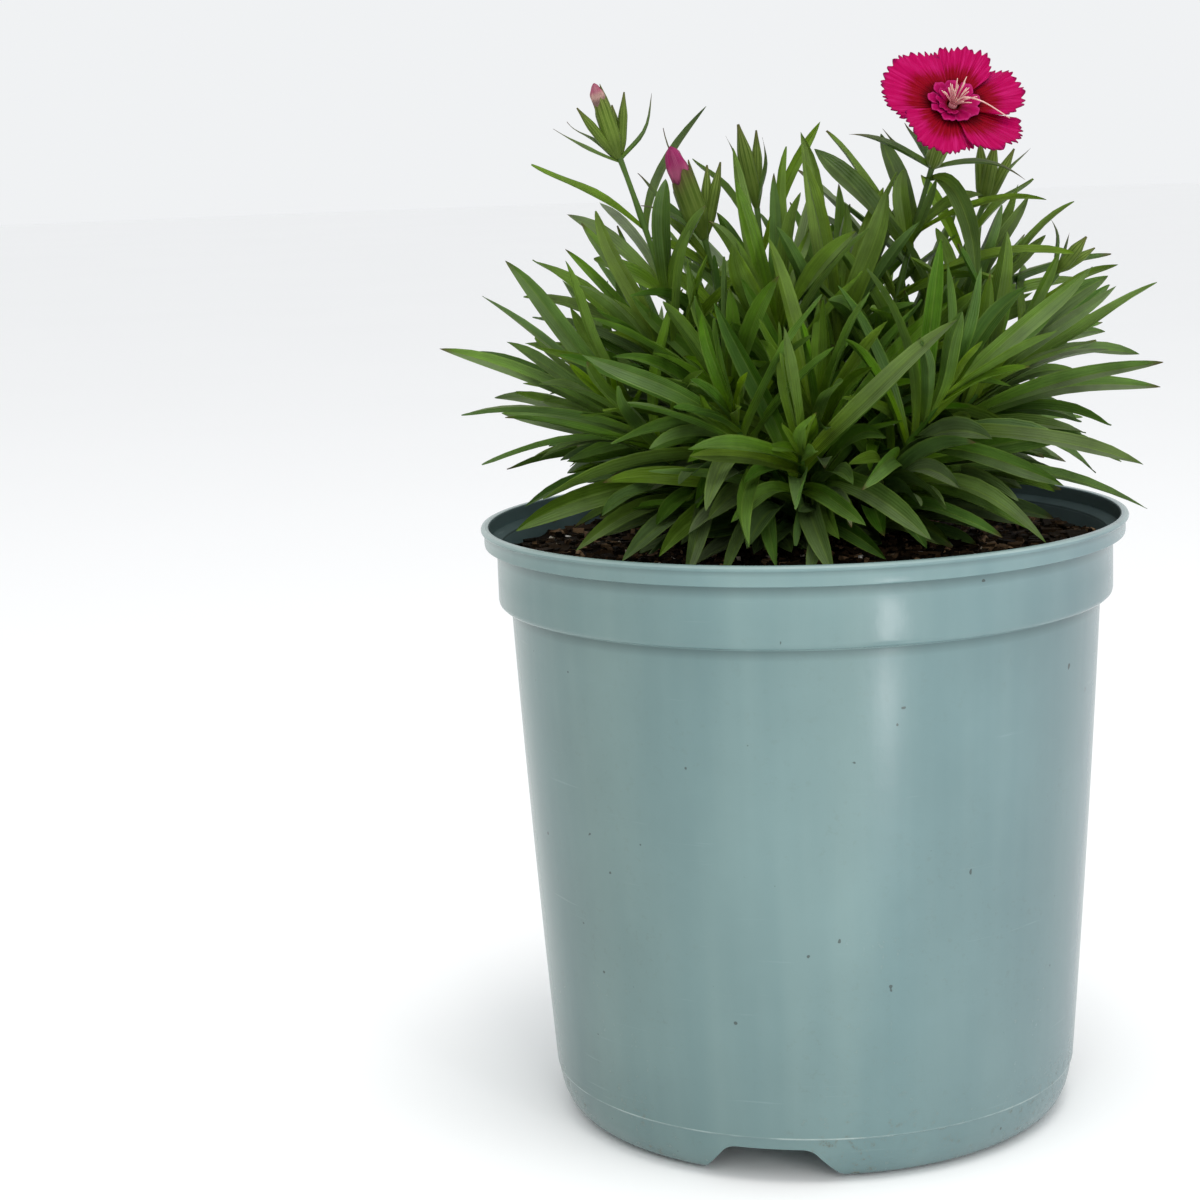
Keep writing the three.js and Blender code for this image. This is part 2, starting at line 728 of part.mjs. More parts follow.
// Stems rise steeply from the crown and lean out to their tops.
function stemCurve(shoot) {
  const top = vector(shoot.top);
  const middle = new THREE.Vector3().lerpVectors(shoot.foot, top, STEM_MIDDLE_SPREAD);
  middle.z = shoot.foot.z + (top.z - shoot.foot.z) * STEM_MIDDLE_HEIGHT;
  return [shoot.foot, middle, top];
}

// A leaf is a quadratic curve from the stem to the tip, with the direction of its width.
function drawnLeaf(shoot, [place, x, y, z, arch, width]) {
  const axis = quadraticSlope(shoot.curve, place);
  const tip = new THREE.Vector3(x, y, z);
  const centre = quadratic(shoot.curve, place);
  const chord = new THREE.Vector3().subVectors(tip, centre).normalize();
  const outward = chord.clone().addScaledVector(axis, -chord.dot(axis)).normalize();
  const root = centre.addScaledVector(outward, ROOT_OFFSET * stemRadius(place));
  const knee = new THREE.Vector3().lerpVectors(root, tip, 0.5);
  knee.z += arch;
  const up = axis.clone().lerp(new THREE.Vector3(0, 0, 1), FACE_UPRIGHT);
  up.y -= FACE_FORWARD;
  const across = new THREE.Vector3().crossVectors(chord, up).normalize();
  return { curve: [root, knee, tip], across, roll: 0, twist: 0, width, stations: LEAF_STATIONS };
}

// A leaf that starts off in one direction and bends towards another, square to the first.
function grownLeaf(shoot, place, outward, start, back, size) {
  const root = quadratic(shoot.curve, place).addScaledVector(outward, ROOT_OFFSET * stemRadius(place));
  const end = start.clone().multiplyScalar(Math.cos(size.bend)).addScaledVector(back, Math.sin(size.bend));
  const knee = root.clone().addScaledVector(start, size.length / 2);
  const tip = knee.clone().addScaledVector(end, size.length / 2);
  const across = new THREE.Vector3().crossVectors(back, start).normalize();
  const { roll, twist, width } = size;
  return { curve: [root, knee, tip], across, roll, twist, width, stations: LEAF_STATIONS };
}

// One leaf of a pair leans away from its stem, and its tip bends further out.
function pairLeaf(shoot, place, azimuth, angle, size) {
  const axis = quadraticSlope(shoot.curve, place);
  const [first, second] = sideAxes(axis);
  const outward = first.multiplyScalar(Math.cos(azimuth)).addScaledVector(second, Math.sin(azimuth));
  const start = axis.clone().multiplyScalar(Math.cos(angle)).addScaledVector(outward, Math.sin(angle));
  const back = outward.clone().multiplyScalar(Math.cos(angle)).addScaledVector(axis, -Math.sin(angle));
  return grownLeaf(shoot, place, outward, start, back, size);
}

// A low leaf rises outwards from the crown and droops over the soil.
function skirtLeaf(shoot, place, azimuth, rise, size) {
  const outward = new THREE.Vector3(Math.cos(azimuth), Math.sin(azimuth), 0);
  const up = new THREE.Vector3(0, 0, 1);
  const start = outward.clone().multiplyScalar(Math.cos(rise)).addScaledVector(up, Math.sin(rise));
  const back = outward.clone().multiplyScalar(Math.sin(rise)).addScaledVector(up, -Math.cos(rise));
  return grownLeaf(shoot, place, outward, start, back, size);
}

// Cross-sections of a blade: left edge, right edge and the keel under the midrib.
function bladeSections(leaf) {
  return leaf.stations.map(([place, share]) => {
    const centre = quadratic(leaf.curve, place);
    const along = quadraticSlope(leaf.curve, place);
    const across = leaf.across.clone().applyAxisAngle(along, leaf.roll + leaf.twist * place);
    const face = new THREE.Vector3().crossVectors(across, along).normalize();
    const half = (leaf.width * share) / 2;
    const depth = place === 0 ? LEAF_SUNK_DEPTH : LEAF_THICKNESS;
    return {
      place,
      left: centre.clone().addScaledVector(across, -half),
      right: centre.clone().addScaledVector(across, half),
      keel: centre.clone().addScaledVector(face, share > 0 ? -depth : 0),
    };
  });
}

// Points about a millimetre apart over a blade, with how far along it each one lies.
function bladeSamples(leaf) {
  const sections = bladeSections(leaf);
  const samples = [];
  for (let i = 0; i < sections.length - 1; i += 1) {
    const [near, far] = [sections[i], sections[i + 1]];
    const rows = Math.ceil(near.keel.distanceTo(far.keel));
    for (let row = 0; row < rows; row += 1) {
      const share = row / rows;
      const left = near.left.clone().lerp(far.left, share);
      const right = near.right.clone().lerp(far.right, share);
      const place = near.place + (far.place - near.place) * share;
      const columns = Math.max(1, Math.ceil(left.distanceTo(right)));
      for (let column = 0; column <= columns; column += 1) {
        samples.push({ point: left.clone().lerp(right, column / columns), place });
      }
      samples.push({ point: near.keel.clone().lerp(far.keel, share), place });
    }
  }
  samples.push({ point: sections[sections.length - 1].keel, place: 1 });
  return samples;
}

// The cells that a shoot's pieces lie in, and those with all their neighbours, each with its owner.
const filled = new Map();
const taken = new Map();
const SHARED = -1;

function cellOf(point) {
  const x = Math.floor((point.x + CELL_OFFSET) / CELL);
  const y = Math.floor((point.y + CELL_OFFSET) / CELL);
  const z = Math.floor((point.z + CELL_OFFSET) / CELL);
  return (x * CELL_COUNT + y) * CELL_COUNT + z;
}

function takeCells(owner, points) {
  const cells = new Set(points.map(cellOf));
  cells.forEach((cell) => {
    filled.set(cell, owner);
    for (let x = -1; x <= 1; x += 1) {
      for (let y = -1; y <= 1; y += 1) {
        for (let z = -1; z <= 1; z += 1) {
          const near = cell + (x * CELL_COUNT + y) * CELL_COUNT + z;
          const known = taken.get(near);
          taken.set(near, known === undefined || known === owner ? owner : SHARED);
        }
      }
    }
  });
}

function insideBounds(point) {
  const radius = Math.hypot(point.x, point.y);
  if (Math.abs(point.x) > REACH_X || Math.abs(point.y) > REACH_Y || point.z > REACH_Z) {
    return false;
  }
  if (radius > COLLAR_RADIUS - WALL - SOIL_CLEARANCE) {
    return point.z > POT_HEIGHT + LIP_CLEARANCE;
  }
  return point.z > soilHeight(point.x, point.y) + SOIL_CLEARANCE;
}

function isClear(owner, samples) {
  return samples.every(({ point, place }) => {
    const cell = cellOf(point);
    const known = taken.get(cell);
    if (known !== undefined && known !== owner) {
      return false;
    }
    if (place < FREE_SHARE) {
      return true;
    }
    return filled.get(cell) !== owner && insideBounds(point);
  });
}

// Points on the surface of a round piece such as a stem or a bud.
function spindleSamples(points, radii) {
  const samples = [];
  for (let i = 0; i < points.length - 1; i += 1) {
    const along = new THREE.Vector3().subVectors(points[i + 1], points[i]);
    const rows = Math.ceil(along.length());
    const [first, second] = sideAxes(along.normalize());
    for (let row = 0; row <= rows; row += 1) {
      const share = row / rows;
      const centre = points[i].clone().lerp(points[i + 1], share);
      const radius = radii[i] + (radii[i + 1] - radii[i]) * share;
      const sides = Math.max(6, Math.ceil(radius * 6));
      samples.push(centre);
      for (let side = 0; side < sides; side += 1) {
        const angle = (side / sides) * 2 * Math.PI;
        const point = centre.clone().addScaledVector(first, radius * Math.cos(angle));
        samples.push(point.addScaledVector(second, radius * Math.sin(angle)));
      }
    }
  }
  return samples;
}

function stemPoints(shoot) {
  const foot = shoot.foot.clone();
  foot.z -= STEM_DEPTH;
  return [foot, ...STEM_STATIONS.map((t) => quadratic(shoot.curve, t))];
}

const stemSides = (shoot) => (shoot.buds ? FLOWERING_STEM_SIDES : LEAFY_STEM_SIDES);

function stemRadii() {
  return [STEM_BASE_RADIUS, ...STEM_STATIONS.map(stemRadius)];
}

// ---------------------------------------------------------------- open flower and buds

const FLOWER_OWNER = -2;
const flowerFrame = makeFlowerFrame();

// The flower's own axes: X to the viewer's right, Y up along the petals, Z out of the throat.
function makeFlowerFrame() {
  const centre = vector(FLOWER_CENTRE);
  const out = centre.clone().sub(vector(FLOWER_FOOT)).normalize();
  const right = new THREE.Vector3(1, 0, 0).addScaledVector(out, -out.x).normalize();
  const up = new THREE.Vector3().crossVectors(out, right);
  return new THREE.Matrix4().makeBasis(right, up, out).setPosition(centre);
}

const inFlower = (x, y, z) => new THREE.Vector3(x, y, z).applyMatrix4(flowerFrame);

// Height of a petal above the throat: it cups, and turns like a propeller so that each edge on the
// clockwise side lies over the next petal.
function petalHeight(petal, radius, turn) {
  const share = radius / petal.radius;
  const slope = petal.rise * Math.max(0, radius - petal.rows[0][0]);
  return slope + petal.cup * share ** 1.5 - petal.pitch * turn * share;
}

// Rows of points over one petal, from the throat to the toothed edge.
function petalRows(petal, angle) {
  const { radius, halfAngle, reach, fall, teeth, toothDepth, rows } = petal;
  const edge = { count: teeth * 2 + 1 };
  const plain = rows.map(([distance, count]) => ({ distance, count }));
  return [...plain, edge].map(({ distance, count }) => {
    const points = [];
    for (let i = 0; i < count; i += 1) {
      const turn = (2 * i) / (count - 1) - 1;
      const rounding = 1 - fall * Math.abs(turn) ** PETAL_CORNER_POWER;
      const out = distance || radius * reach * rounding - (i % 2 === 0 ? toothDepth : 0);
      const wide = distance && distance < radius / 4 ? PETAL_FOOT_SHARE : 1;
      const place = radians(angle + halfAngle * wide * turn);
      points.push([out * Math.cos(place), out * Math.sin(place), petalHeight(petal, out, turn)]);
    }
    return points;
  });
}

// Triangles between two rows of points that may differ in number.
function zipRows(low, lowCount, high, highCount) {
  const triangles = [];
  let i = 0;
  let j = 0;
  while (i < lowCount - 1 || j < highCount - 1) {
    const lowNext = (i + 1) / (lowCount - 1);
    const highNext = (j + 1) / (highCount - 1);
    if (j === highCount - 1 || (i < lowCount - 1 && lowNext <= highNext)) {
      triangles.push(low + i, high + j, low + i + 1);
      i += 1;
    } else {
      triangles.push(low + i, high + j, high + j + 1);
      j += 1;
    }
  }
  return triangles;
}

function petalSolid(petal, angle) {
  const rows = petalRows(petal, angle);
  const starts = [];
  let count = 0;
  rows.forEach((row) => {
    starts.push(count);
    count += row.length;
  });
  const corners = [];
  [0, petal.thickness].forEach((depth) => {
    rows.flat().forEach(([x, y, z]) => corners.push(...inFlower(x, y, z - depth).toArray()));
  });
  const face = [];
  for (let row = 0; row < rows.length - 1; row += 1) {
    face.push(...zipRows(starts[row], rows[row].length, starts[row + 1], rows[row + 1].length));
  }
  const triangles = [...face];
  for (let i = 0; i < face.length; i += 3) {
    triangles.push(face[i] + count, face[i + 2] + count, face[i + 1] + count);
  }
  const lastRow = rows.length - 1;
  const firstEdge = rows[0].map((point, i) => i);
  const rightEdge = starts.map((start, row) => start + rows[row].length - 1);
  const outerEdge = rows[lastRow].map((point, i) => starts[lastRow] + i).reverse();
  const leftEdge = starts.slice().reverse();
  const border = [...firstEdge, ...rightEdge.slice(1), ...outerEdge.slice(1), ...leftEdge.slice(1, -1)];
  border.forEach((from, i) => {
    const to = border[(i + 1) % border.length];
    triangles.push(from, to, from + count);
    triangles.push(to, to + count, from + count);
  });
  return solidFromTriangles(corners, triangles);
}

function alongFlower(stations) {
  return stations.map((height) => inFlower(0, 0, height));
}

function makePetals() {
  const stations = [-THROAT_DEPTH, EYE_BOTTOM, EYE_BOTTOM + 0.3, EYE_TOP];
  const radii = [THROAT_RADIUS, THROAT_RADIUS, EYE_RADIUS, EYE_RADIUS];
  const boreEnds = alongFlower([-THROAT_DEPTH - 1, 3]);
  const parts = [spindle(alongFlower(stations), radii, THROAT_SIDES)];
  PETALS.forEach(([angle, halfAngle, reach, fall]) => {
    const teeth = Math.round((2 * halfAngle) / TOOTH_ANGLE);
    parts.push(petalSolid({ ...PETAL, halfAngle, reach, fall, teeth }, angle));
  });
  for (let i = 0; i < RUFF_COUNT; i += 1) {
    parts.push(petalSolid(RUFF_PETAL, RUFF_FIRST_ANGLE + (i * 360) / RUFF_COUNT));
  }
  const bore = spindle(boreEnds, [THROAT_BORE, THROAT_BORE], THROAT_SIDES);
  return fused([parts.reduce((sum, part) => sum.add(part)).subtract(bore)]);
}

function makeStamens() {
  const plugEnds = alongFlower([GAP - THROAT_DEPTH, 1]);
  const parts = [spindle(plugEnds, [STAMEN_PLUG_RADIUS, STAMEN_PLUG_RADIUS], 6)];
  for (let i = 0; i < STAMEN_COUNT; i += 1) {
    const turn = radians((i * 360) / STAMEN_COUNT + STAMEN_FIRST_ANGLE);
    const [lean, length] = STAMEN_KINDS[i % STAMEN_KINDS.length];
    const end = STAMEN_SPREAD + length * Math.sin(radians(lean));
    const foot = inFlower(STAMEN_SPREAD * Math.cos(turn), STAMEN_SPREAD * Math.sin(turn), 0);
    const tip = inFlower(end * Math.cos(turn), end * Math.sin(turn), length * Math.cos(radians(lean)));
    parts.push(spindle([foot, tip], [STAMEN_RADIUS, STAMEN_RADIUS], 3));
  }
  const style = LONG_STYLE.map(([x, y, z]) => inFlower(x, y, z));
  parts.push(spindle(style, style.map(() => STAMEN_RADIUS), 3));
  return fused(parts);
}

// The calyx with its socket for the petals' throat.
function calyxSolid() {
  const body = spindle(alongFlower(CALYX.map(([height]) => height)), CALYX.map(([, radius]) => radius), 8);
  const socketEnds = alongFlower([-THROAT_DEPTH - GAP, 1]);
  const socketRadius = THROAT_RADIUS + GAP;
  return body.subtract(spindle(socketEnds, [socketRadius, socketRadius], THROAT_SIDES));
}

function flowerSamples() {
  const samples = [];
  for (let radius = 1; radius < PETAL.radius + 1; radius += 1) {
    const steps = Math.ceil(2 * Math.PI * radius);
    for (let i = 0; i < steps; i += 1) {
      const angle = (i / steps) * 2 * Math.PI;
      [-1, 0, 1].forEach((turn) => {
        const height = petalHeight(PETAL, radius, turn);
        samples.push(inFlower(radius * Math.cos(angle), radius * Math.sin(angle), height));
      });
    }
  }
  return samples;
}

const budPoint = ([x, y, z, tipX, tipY, tipZ], share) =>
  new THREE.Vector3(x, y, z).lerp(new THREE.Vector3(tipX, tipY, tipZ), share);

// The bud's outline between two places along it.
function budOutline(bud, from, to) {
  const radius = bud[6];
  const radiusAt = (place) => {
    const next = BUD_STATIONS.findIndex(([station]) => station >= place);
    const [farPlace, farShare] = BUD_STATIONS[next];
    const [nearPlace, nearShare] = BUD_STATIONS[Math.max(0, next - 1)];
    const span = farPlace - nearPlace || 1;
    return radius * (nearShare + ((farShare - nearShare) * (place - nearPlace)) / span);
  };
  const between = BUD_STATIONS.map(([place]) => place).filter((place) => place > from && place < to);
  const places = [from, ...between, to];
  return { points: places.map((place) => budPoint(bud, place)), radii: places.map(radiusAt) };
}

function budSolid(bud) {
  const opening = bud[7];
  const { points, radii } = budOutline(bud, 0, opening || 1);
  const green = spindle(points, radii, BUD_SIDES);
  if (!opening) {
    return green;
  }
  const socket = BUD_SOCKET * bud[6];
  const ends = [budPoint(bud, opening - BUD_SOCKET_DEPTH), budPoint(bud, opening + 0.05)];
  return green.subtract(spindle(ends, [socket, socket], BUD_SIDES));
}

function budPetals(bud) {
  const opening = bud[7];
  const inner = BUD_SOCKET * bud[6] - GAP;
  const low = opening - BUD_SOCKET_DEPTH;
  const length = budPoint(bud, 0).distanceTo(budPoint(bud, 1));
  const places = [low + GAP / length, opening, (opening + 1) / 2, 1];
  const radii = [inner, inner, inner * 0.85, inner * 0.2];
  return spindle(places.map((place) => budPoint(bud, place)), radii, BUD_SIDES);
}

function bractLeaf([x, y, z, tipX, tipY, tipZ, arch, width]) {
  const root = new THREE.Vector3(x, y, z);
  const tip = new THREE.Vector3(tipX, tipY, tipZ);
  const knee = root.clone().lerp(tip, 0.5);
  knee.z += arch;
  const chord = tip.clone().sub(root).normalize();
  const across = new THREE.Vector3().crossVectors(chord, new THREE.Vector3(0.1, 0.9, 0.4)).normalize();
  return { curve: [root, knee, tip], across, roll: 0, twist: 0, width, stations: BRACT_STATIONS };
}

// ---------------------------------------------------------------- leaves and stems as solids

function bladeSolid(leaf) {
  const corners = [];
  const triangles = [];
  const sections = bladeSections(leaf);
  const rings = sections.length - 1;
  sections.slice(0, rings).forEach(({ left, right, keel }) => {
    corners.push(...left.toArray(), ...right.toArray(), ...keel.toArray());
  });
  corners.push(...sections[rings].keel.toArray());
  const tip = rings * 3;
  for (let side = 0; side < 3; side += 1) {
    const next = (side + 1) % 3;
    for (let ring = 0; ring < rings - 1; ring += 1) {
      const near = ring * 3;
      const far = near + 3;
      triangles.push(near + side, near + next, far + side);
      triangles.push(near + next, far + next, far + side);
    }
    triangles.push(tip - 3 + side, tip - 3 + next, tip);
  }
  triangles.push(0, 2, 1);
  return solidFromTriangles(corners, triangles);
}

// Draws ever wider changes until a leaf is clear of the others, then takes its place.
function settleLeaf(owner, shoot, seed, tries, makeLeaf) {
  const random = seededRandom(seed);
  for (let attempt = 0; attempt < tries; attempt += 1) {
    const spread = attempt / tries;
    const draw = (near, far) => (random() - 0.5) * 2 * (near + far * spread);
    const leaf = makeLeaf(draw, spread);
    const samples = bladeSamples(leaf);
    if (isClear(owner, samples)) {
      takeCells(owner, samples.map(({ point }) => point));
      shoot.blades.push(leaf);
      return;
    }
  }
}

// A drawn leaf keeps its outline from the viewer's side: it gives way in depth first.
function placeDrawnLeaves(shoot, owner) {
  shoot.leaves.forEach(([place, x, y, z, arch, width], i) => {
    settleLeaf(owner, shoot, 9000 + owner * 64 + i, 60, (draw, spread) => {
      const depth = spread > 0 ? draw(3, 24) : 0;
      const shift = spread * draw(0, 5);
      const slide = spread * draw(0, 0.12);
      const along = Math.min(1, Math.max(0.05, place + slide));
      return drawnLeaf(shoot, [along, x + shift, y + depth, z + spread * draw(0, 4), arch, width]);
    });
  });
}

function placePair(shoot, owner, level) {
  const pairs = shoot.buds ? FLOWERING_PAIRS : LEAFY_PAIRS;
  const crowded = Math.hypot(shoot.top[0], shoot.top[1]) < CROWDED_RADIUS;
  if (level >= pairs.length || (crowded && level >= CROWDED_PAIRS)) {
    return;
  }
  const [place, length, width, angle, bend] = pairs[level];
  for (let side = 0; side < 2; side += 1) {
    const azimuth = owner * 2.4 + level * (Math.PI / 2) + side * Math.PI;
    settleLeaf(owner, shoot, owner * 64 + level * 2 + side + 1, PAIR_TRIES, (draw, spread) => {
      const turned = azimuth + radians(draw(14, 70));
      const size = {
        bend: radians(bend + draw(10, 34)),
        length: length * (1 + draw(0.14, 0.1)) * (1 - 0.35 * spread),
        width: width * (1 + draw(0.12, 0.1)),
        roll: radians(draw(55, 20)),
        twist: radians(draw(25, 25)),
      };
      return pairLeaf(shoot, place, turned, radians(angle + draw(7, 24)), size);
    });
  }
}

// Low leaves all round the crown, each on the outermost stem in its direction.
function placeSkirt(shoots, [count, place, rise, length, width, bend], row) {
  for (let i = 0; i < count; i += 1) {
    const azimuth = ((i + row * 0.5) / count) * 2 * Math.PI;
    const reach = ({ foot, skirt }) => foot.x * Math.cos(azimuth) + foot.y * Math.sin(azimuth) - 3 * skirt;
    const owner = shoots.reduce((best, shoot, k) => (reach(shoot) > reach(shoots[best]) ? k : best), 0);
    shoots[owner].skirt += 1;
    settleLeaf(owner, shoots[owner], 21000 + row * 100 + i, SKIRT_TRIES, (draw, spread) => {
      const size = {
        bend: radians(bend + draw(8, 20)),
        length: length * (1 + draw(0.12, 0.1)) * (1 - 0.4 * spread),
        width: width * (1 + draw(0.12, 0.1)),
        roll: radians(draw(25, 20)),
        twist: radians(draw(20, 30)),
      };
      const turned = azimuth + radians(draw(8, 30));
      return skirtLeaf(shoots[owner], place + draw(0.03, 0.04), turned, radians(rise + draw(6, 20)), size);
    });
  }
}

function layOutPlant() {
  const drawn = [...DRAWN_SHOOTS, ...FLOWERING_SHOOTS].map((shoot) => ({ ...shoot }));
  const shoots = [...drawn, ...spiralShoots(drawn)];
  spreadFeet(shoots);
  shoots.forEach((shoot, owner) => {
    shoot.curve = stemCurve(shoot);
    shoot.blades = [];
    shoot.skirt = 0;
    takeCells(owner, spindleSamples(stemPoints(shoot), stemRadii()));
    (shoot.buds || []).forEach((bud) => {
      const { points, radii } = budOutline(bud, 0, 1);
      takeCells(owner, spindleSamples(points, radii));
    });
    (shoot.bracts || []).map(bractLeaf).forEach((leaf) => {
      takeCells(owner, bladeSamples(leaf).map(({ point }) => point));
    });
  });
  takeCells(FLOWER_OWNER, flowerSamples());
  shoots.forEach(placeDrawnLeaves);
  SKIRT_ROWS.forEach((row, i) => placeSkirt(shoots, row, i));
  LEAFY_PAIRS.forEach((pair, level) => {
    shoots.forEach((shoot, owner) => placePair(shoot, owner, level));
  });
  return shoots;
}

// Fuses pieces into one body: a hollow sealed between them is filled and a loose scrap is dropped.
function fused(parts) {
  const whole = parts.reduce((sum, part) => sum.add(part));
  return whole.decompose().reduce((best, part) => (part.volume() > best.volume() ? part : best));
}

function shootSolid(shoot) {
  const stem = spindle(stemPoints(shoot), stemRadii(), stemSides(shoot));
  const parts = [stem, ...shoot.blades.map(bladeSolid)];
  if (shoot.buds) {
    parts.push(...shoot.bracts.map(bractLeaf).map(bladeSolid), ...shoot.buds.map(budSolid));
  }
  if (shoot.open) {
    parts.push(calyxSolid());
  }
  return fused(parts);
}

// ---------------------------------------------------------------- assembly

const plant = new THREE.Group();
plant.name = 'potted_dianthus';
const shoots = layOutPlant();
plant.add(meshFromSolid('pot', makePot(), potPlastic()));
plant.add(meshFromSolid('soil', makeSoil(shoots), peat()));
shoots.forEach((shoot) => {
  plant.add(meshFromSolid(shoot.name, shootSolid(shoot), shoot.buds ? stemGreen() : leafGreen()));
  (shoot.buds || []).filter((bud) => bud[8]).forEach((bud) => {
    plant.add(meshFromSolid(bud[8], budPetals(bud), budPink()));
  });
});
plant.add(meshFromSolid('flower_petals', makePetals(), petalMagenta()));
plant.add(meshFromSolid('flower_stamens', makeStamens(), stamenPink()));

export default plant;
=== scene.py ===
"""A dianthus in a round nursery pot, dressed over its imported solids.

Blender works in metres. The layout below is in millimetres, as the plant was drawn, and is turned
into metres where the meshes are made. +Z is up, and the viewer's side is -Y.
"""
import math
import bpy
import numpy as np
from mathutils import Matrix


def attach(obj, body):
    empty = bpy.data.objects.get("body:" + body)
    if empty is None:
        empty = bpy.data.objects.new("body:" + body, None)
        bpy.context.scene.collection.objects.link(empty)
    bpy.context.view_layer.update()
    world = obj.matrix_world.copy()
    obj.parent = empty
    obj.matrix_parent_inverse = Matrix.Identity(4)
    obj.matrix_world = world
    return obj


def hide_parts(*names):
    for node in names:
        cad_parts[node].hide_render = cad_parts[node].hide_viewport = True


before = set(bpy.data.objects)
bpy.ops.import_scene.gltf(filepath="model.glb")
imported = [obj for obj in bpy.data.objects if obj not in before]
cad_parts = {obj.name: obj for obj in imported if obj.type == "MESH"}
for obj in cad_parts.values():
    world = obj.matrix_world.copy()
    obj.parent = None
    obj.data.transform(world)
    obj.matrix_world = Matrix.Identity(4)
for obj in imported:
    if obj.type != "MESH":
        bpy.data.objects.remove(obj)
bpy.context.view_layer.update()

MM = 0.001
FULL_TURN = 2 * math.pi
# The range that the random phases of waves and the turns of loose bits are drawn from.
PHASES = 6.28
# Edges that turn by more degrees than this stay sharp.
LEAF_SHARP_ANGLE, PETAL_SHARP_ANGLE, POT_SHARP_ANGLE = 55, 60, 35

# ---------------------------------------------------------------- pot and soil

POT_HEIGHT = 187
LIP_RADIUS = 100
BAND_RADIUS = 99
BAND_BOTTOM = 180.8
COLLAR_RADIUS = 95.2
COLLAR_BOTTOM = 162
BODY_TOP_RADIUS = 91.4
BODY_BOW = 0.5
SEAM_HEIGHT = 14.4
SEAM_RADIUS = 82.5
FOOT_RADIUS = 73.6
WALL = 1.6
NOTCHES = 3
NOTCH_AZIMUTH = -99.6
NOTCH_TOP = 10.7
NOTCH_TOP_HALF = 12.8
NOTCH_FOOT_HALF = 20.5
NOTCH_CORNER = 3.2
# How far a notch is cut, inside and outside of the foot ring's radius.
NOTCH_CUT = (-14, 26)
DRAIN_HOLES = 6
DRAIN_RING_RADIUS = 46
DRAIN_RADIUS = 5
# The heights from which and to which a drain hole is cut.
DRAIN_CUT = (9, 20)
POT_SIDES = 180

SOIL_LEVEL = 176.5
SOIL_MOUND = 3.5
SOIL_MOUND_RADIUS = 70
SOIL_RADIUS = 93.1
SOIL_SIDES = 260
# The soil's roughness: (height, width, seed) of its lumps, and how far they lift it on average.
SOIL_LUMPS = [(1.6, 7, 1), (1.3, 3.2, 2), (0.8, 2.1, 3)]
SOIL_LUMPS_LEVEL = 1.9
LUMP_CELLS = 96

# ---------------------------------------------------------------- stems and leaves, as in the solids

STEM_BASE_RADIUS = 1.5
STEM_TOP_RADIUS = 0.95
STEM_DEPTH = 5
STEM_STATIONS = [0, 0.35, 0.7, 1]
CROWN_SCALE = 0.4
CROWN_SPACING = 7.6
CROWN_ROUNDS = 60
STEM_MIDDLE_SPREAD = 0.4
STEM_MIDDLE_HEIGHT = 0.55
LEAF_STATIONS = [(0, 0.16), (0.33, 0.86), (0.68, 0.96), (1, 0)]
BRACT_STATIONS = [(0, 0.5), (0.45, 1), (1, 0)]
LEAF_THICKNESS = 0.85
LEAF_SUNK_DEPTH = 0.3
ROOT_OFFSET = 0.55
FACE_UPRIGHT = 0.4
FACE_FORWARD = 1.1
CELL = 1.2
REACH_X = 109
REACH_Y = 99
REACH_Z = 310
SOIL_CLEARANCE = 2
LIP_CLEARANCE = 1.2
FREE_SHARE = 0.18

FLOWER_FOOT = (42.4, 10.4, 292.4)
FLOWER_CENTRE = (47.6, -10, 310.2)
PETAL_RADIUS = 22.4
PETAL_CUP = 3.2
PETAL_PITCH = 1.9
LONG_STYLE = [(0, 0, 0.5), (2, -0.9, 5.4), (7.5, -2.6, 6.0), (16, -6.2, 3.6)]

BUD_STATIONS = [(0, 0.3), (0.25, 0.92), (0.66, 0.9), (1, 0.12)]
BUD_SOCKET = 0.78
BUD_SOCKET_DEPTH = 0.2
BUD_SLANT = 0.09
BUD_REACH = 0.06
BUD_TEETH = 0.08
BUD_SIDES = 30
CLOSED_BUD_SHARE = 0.97

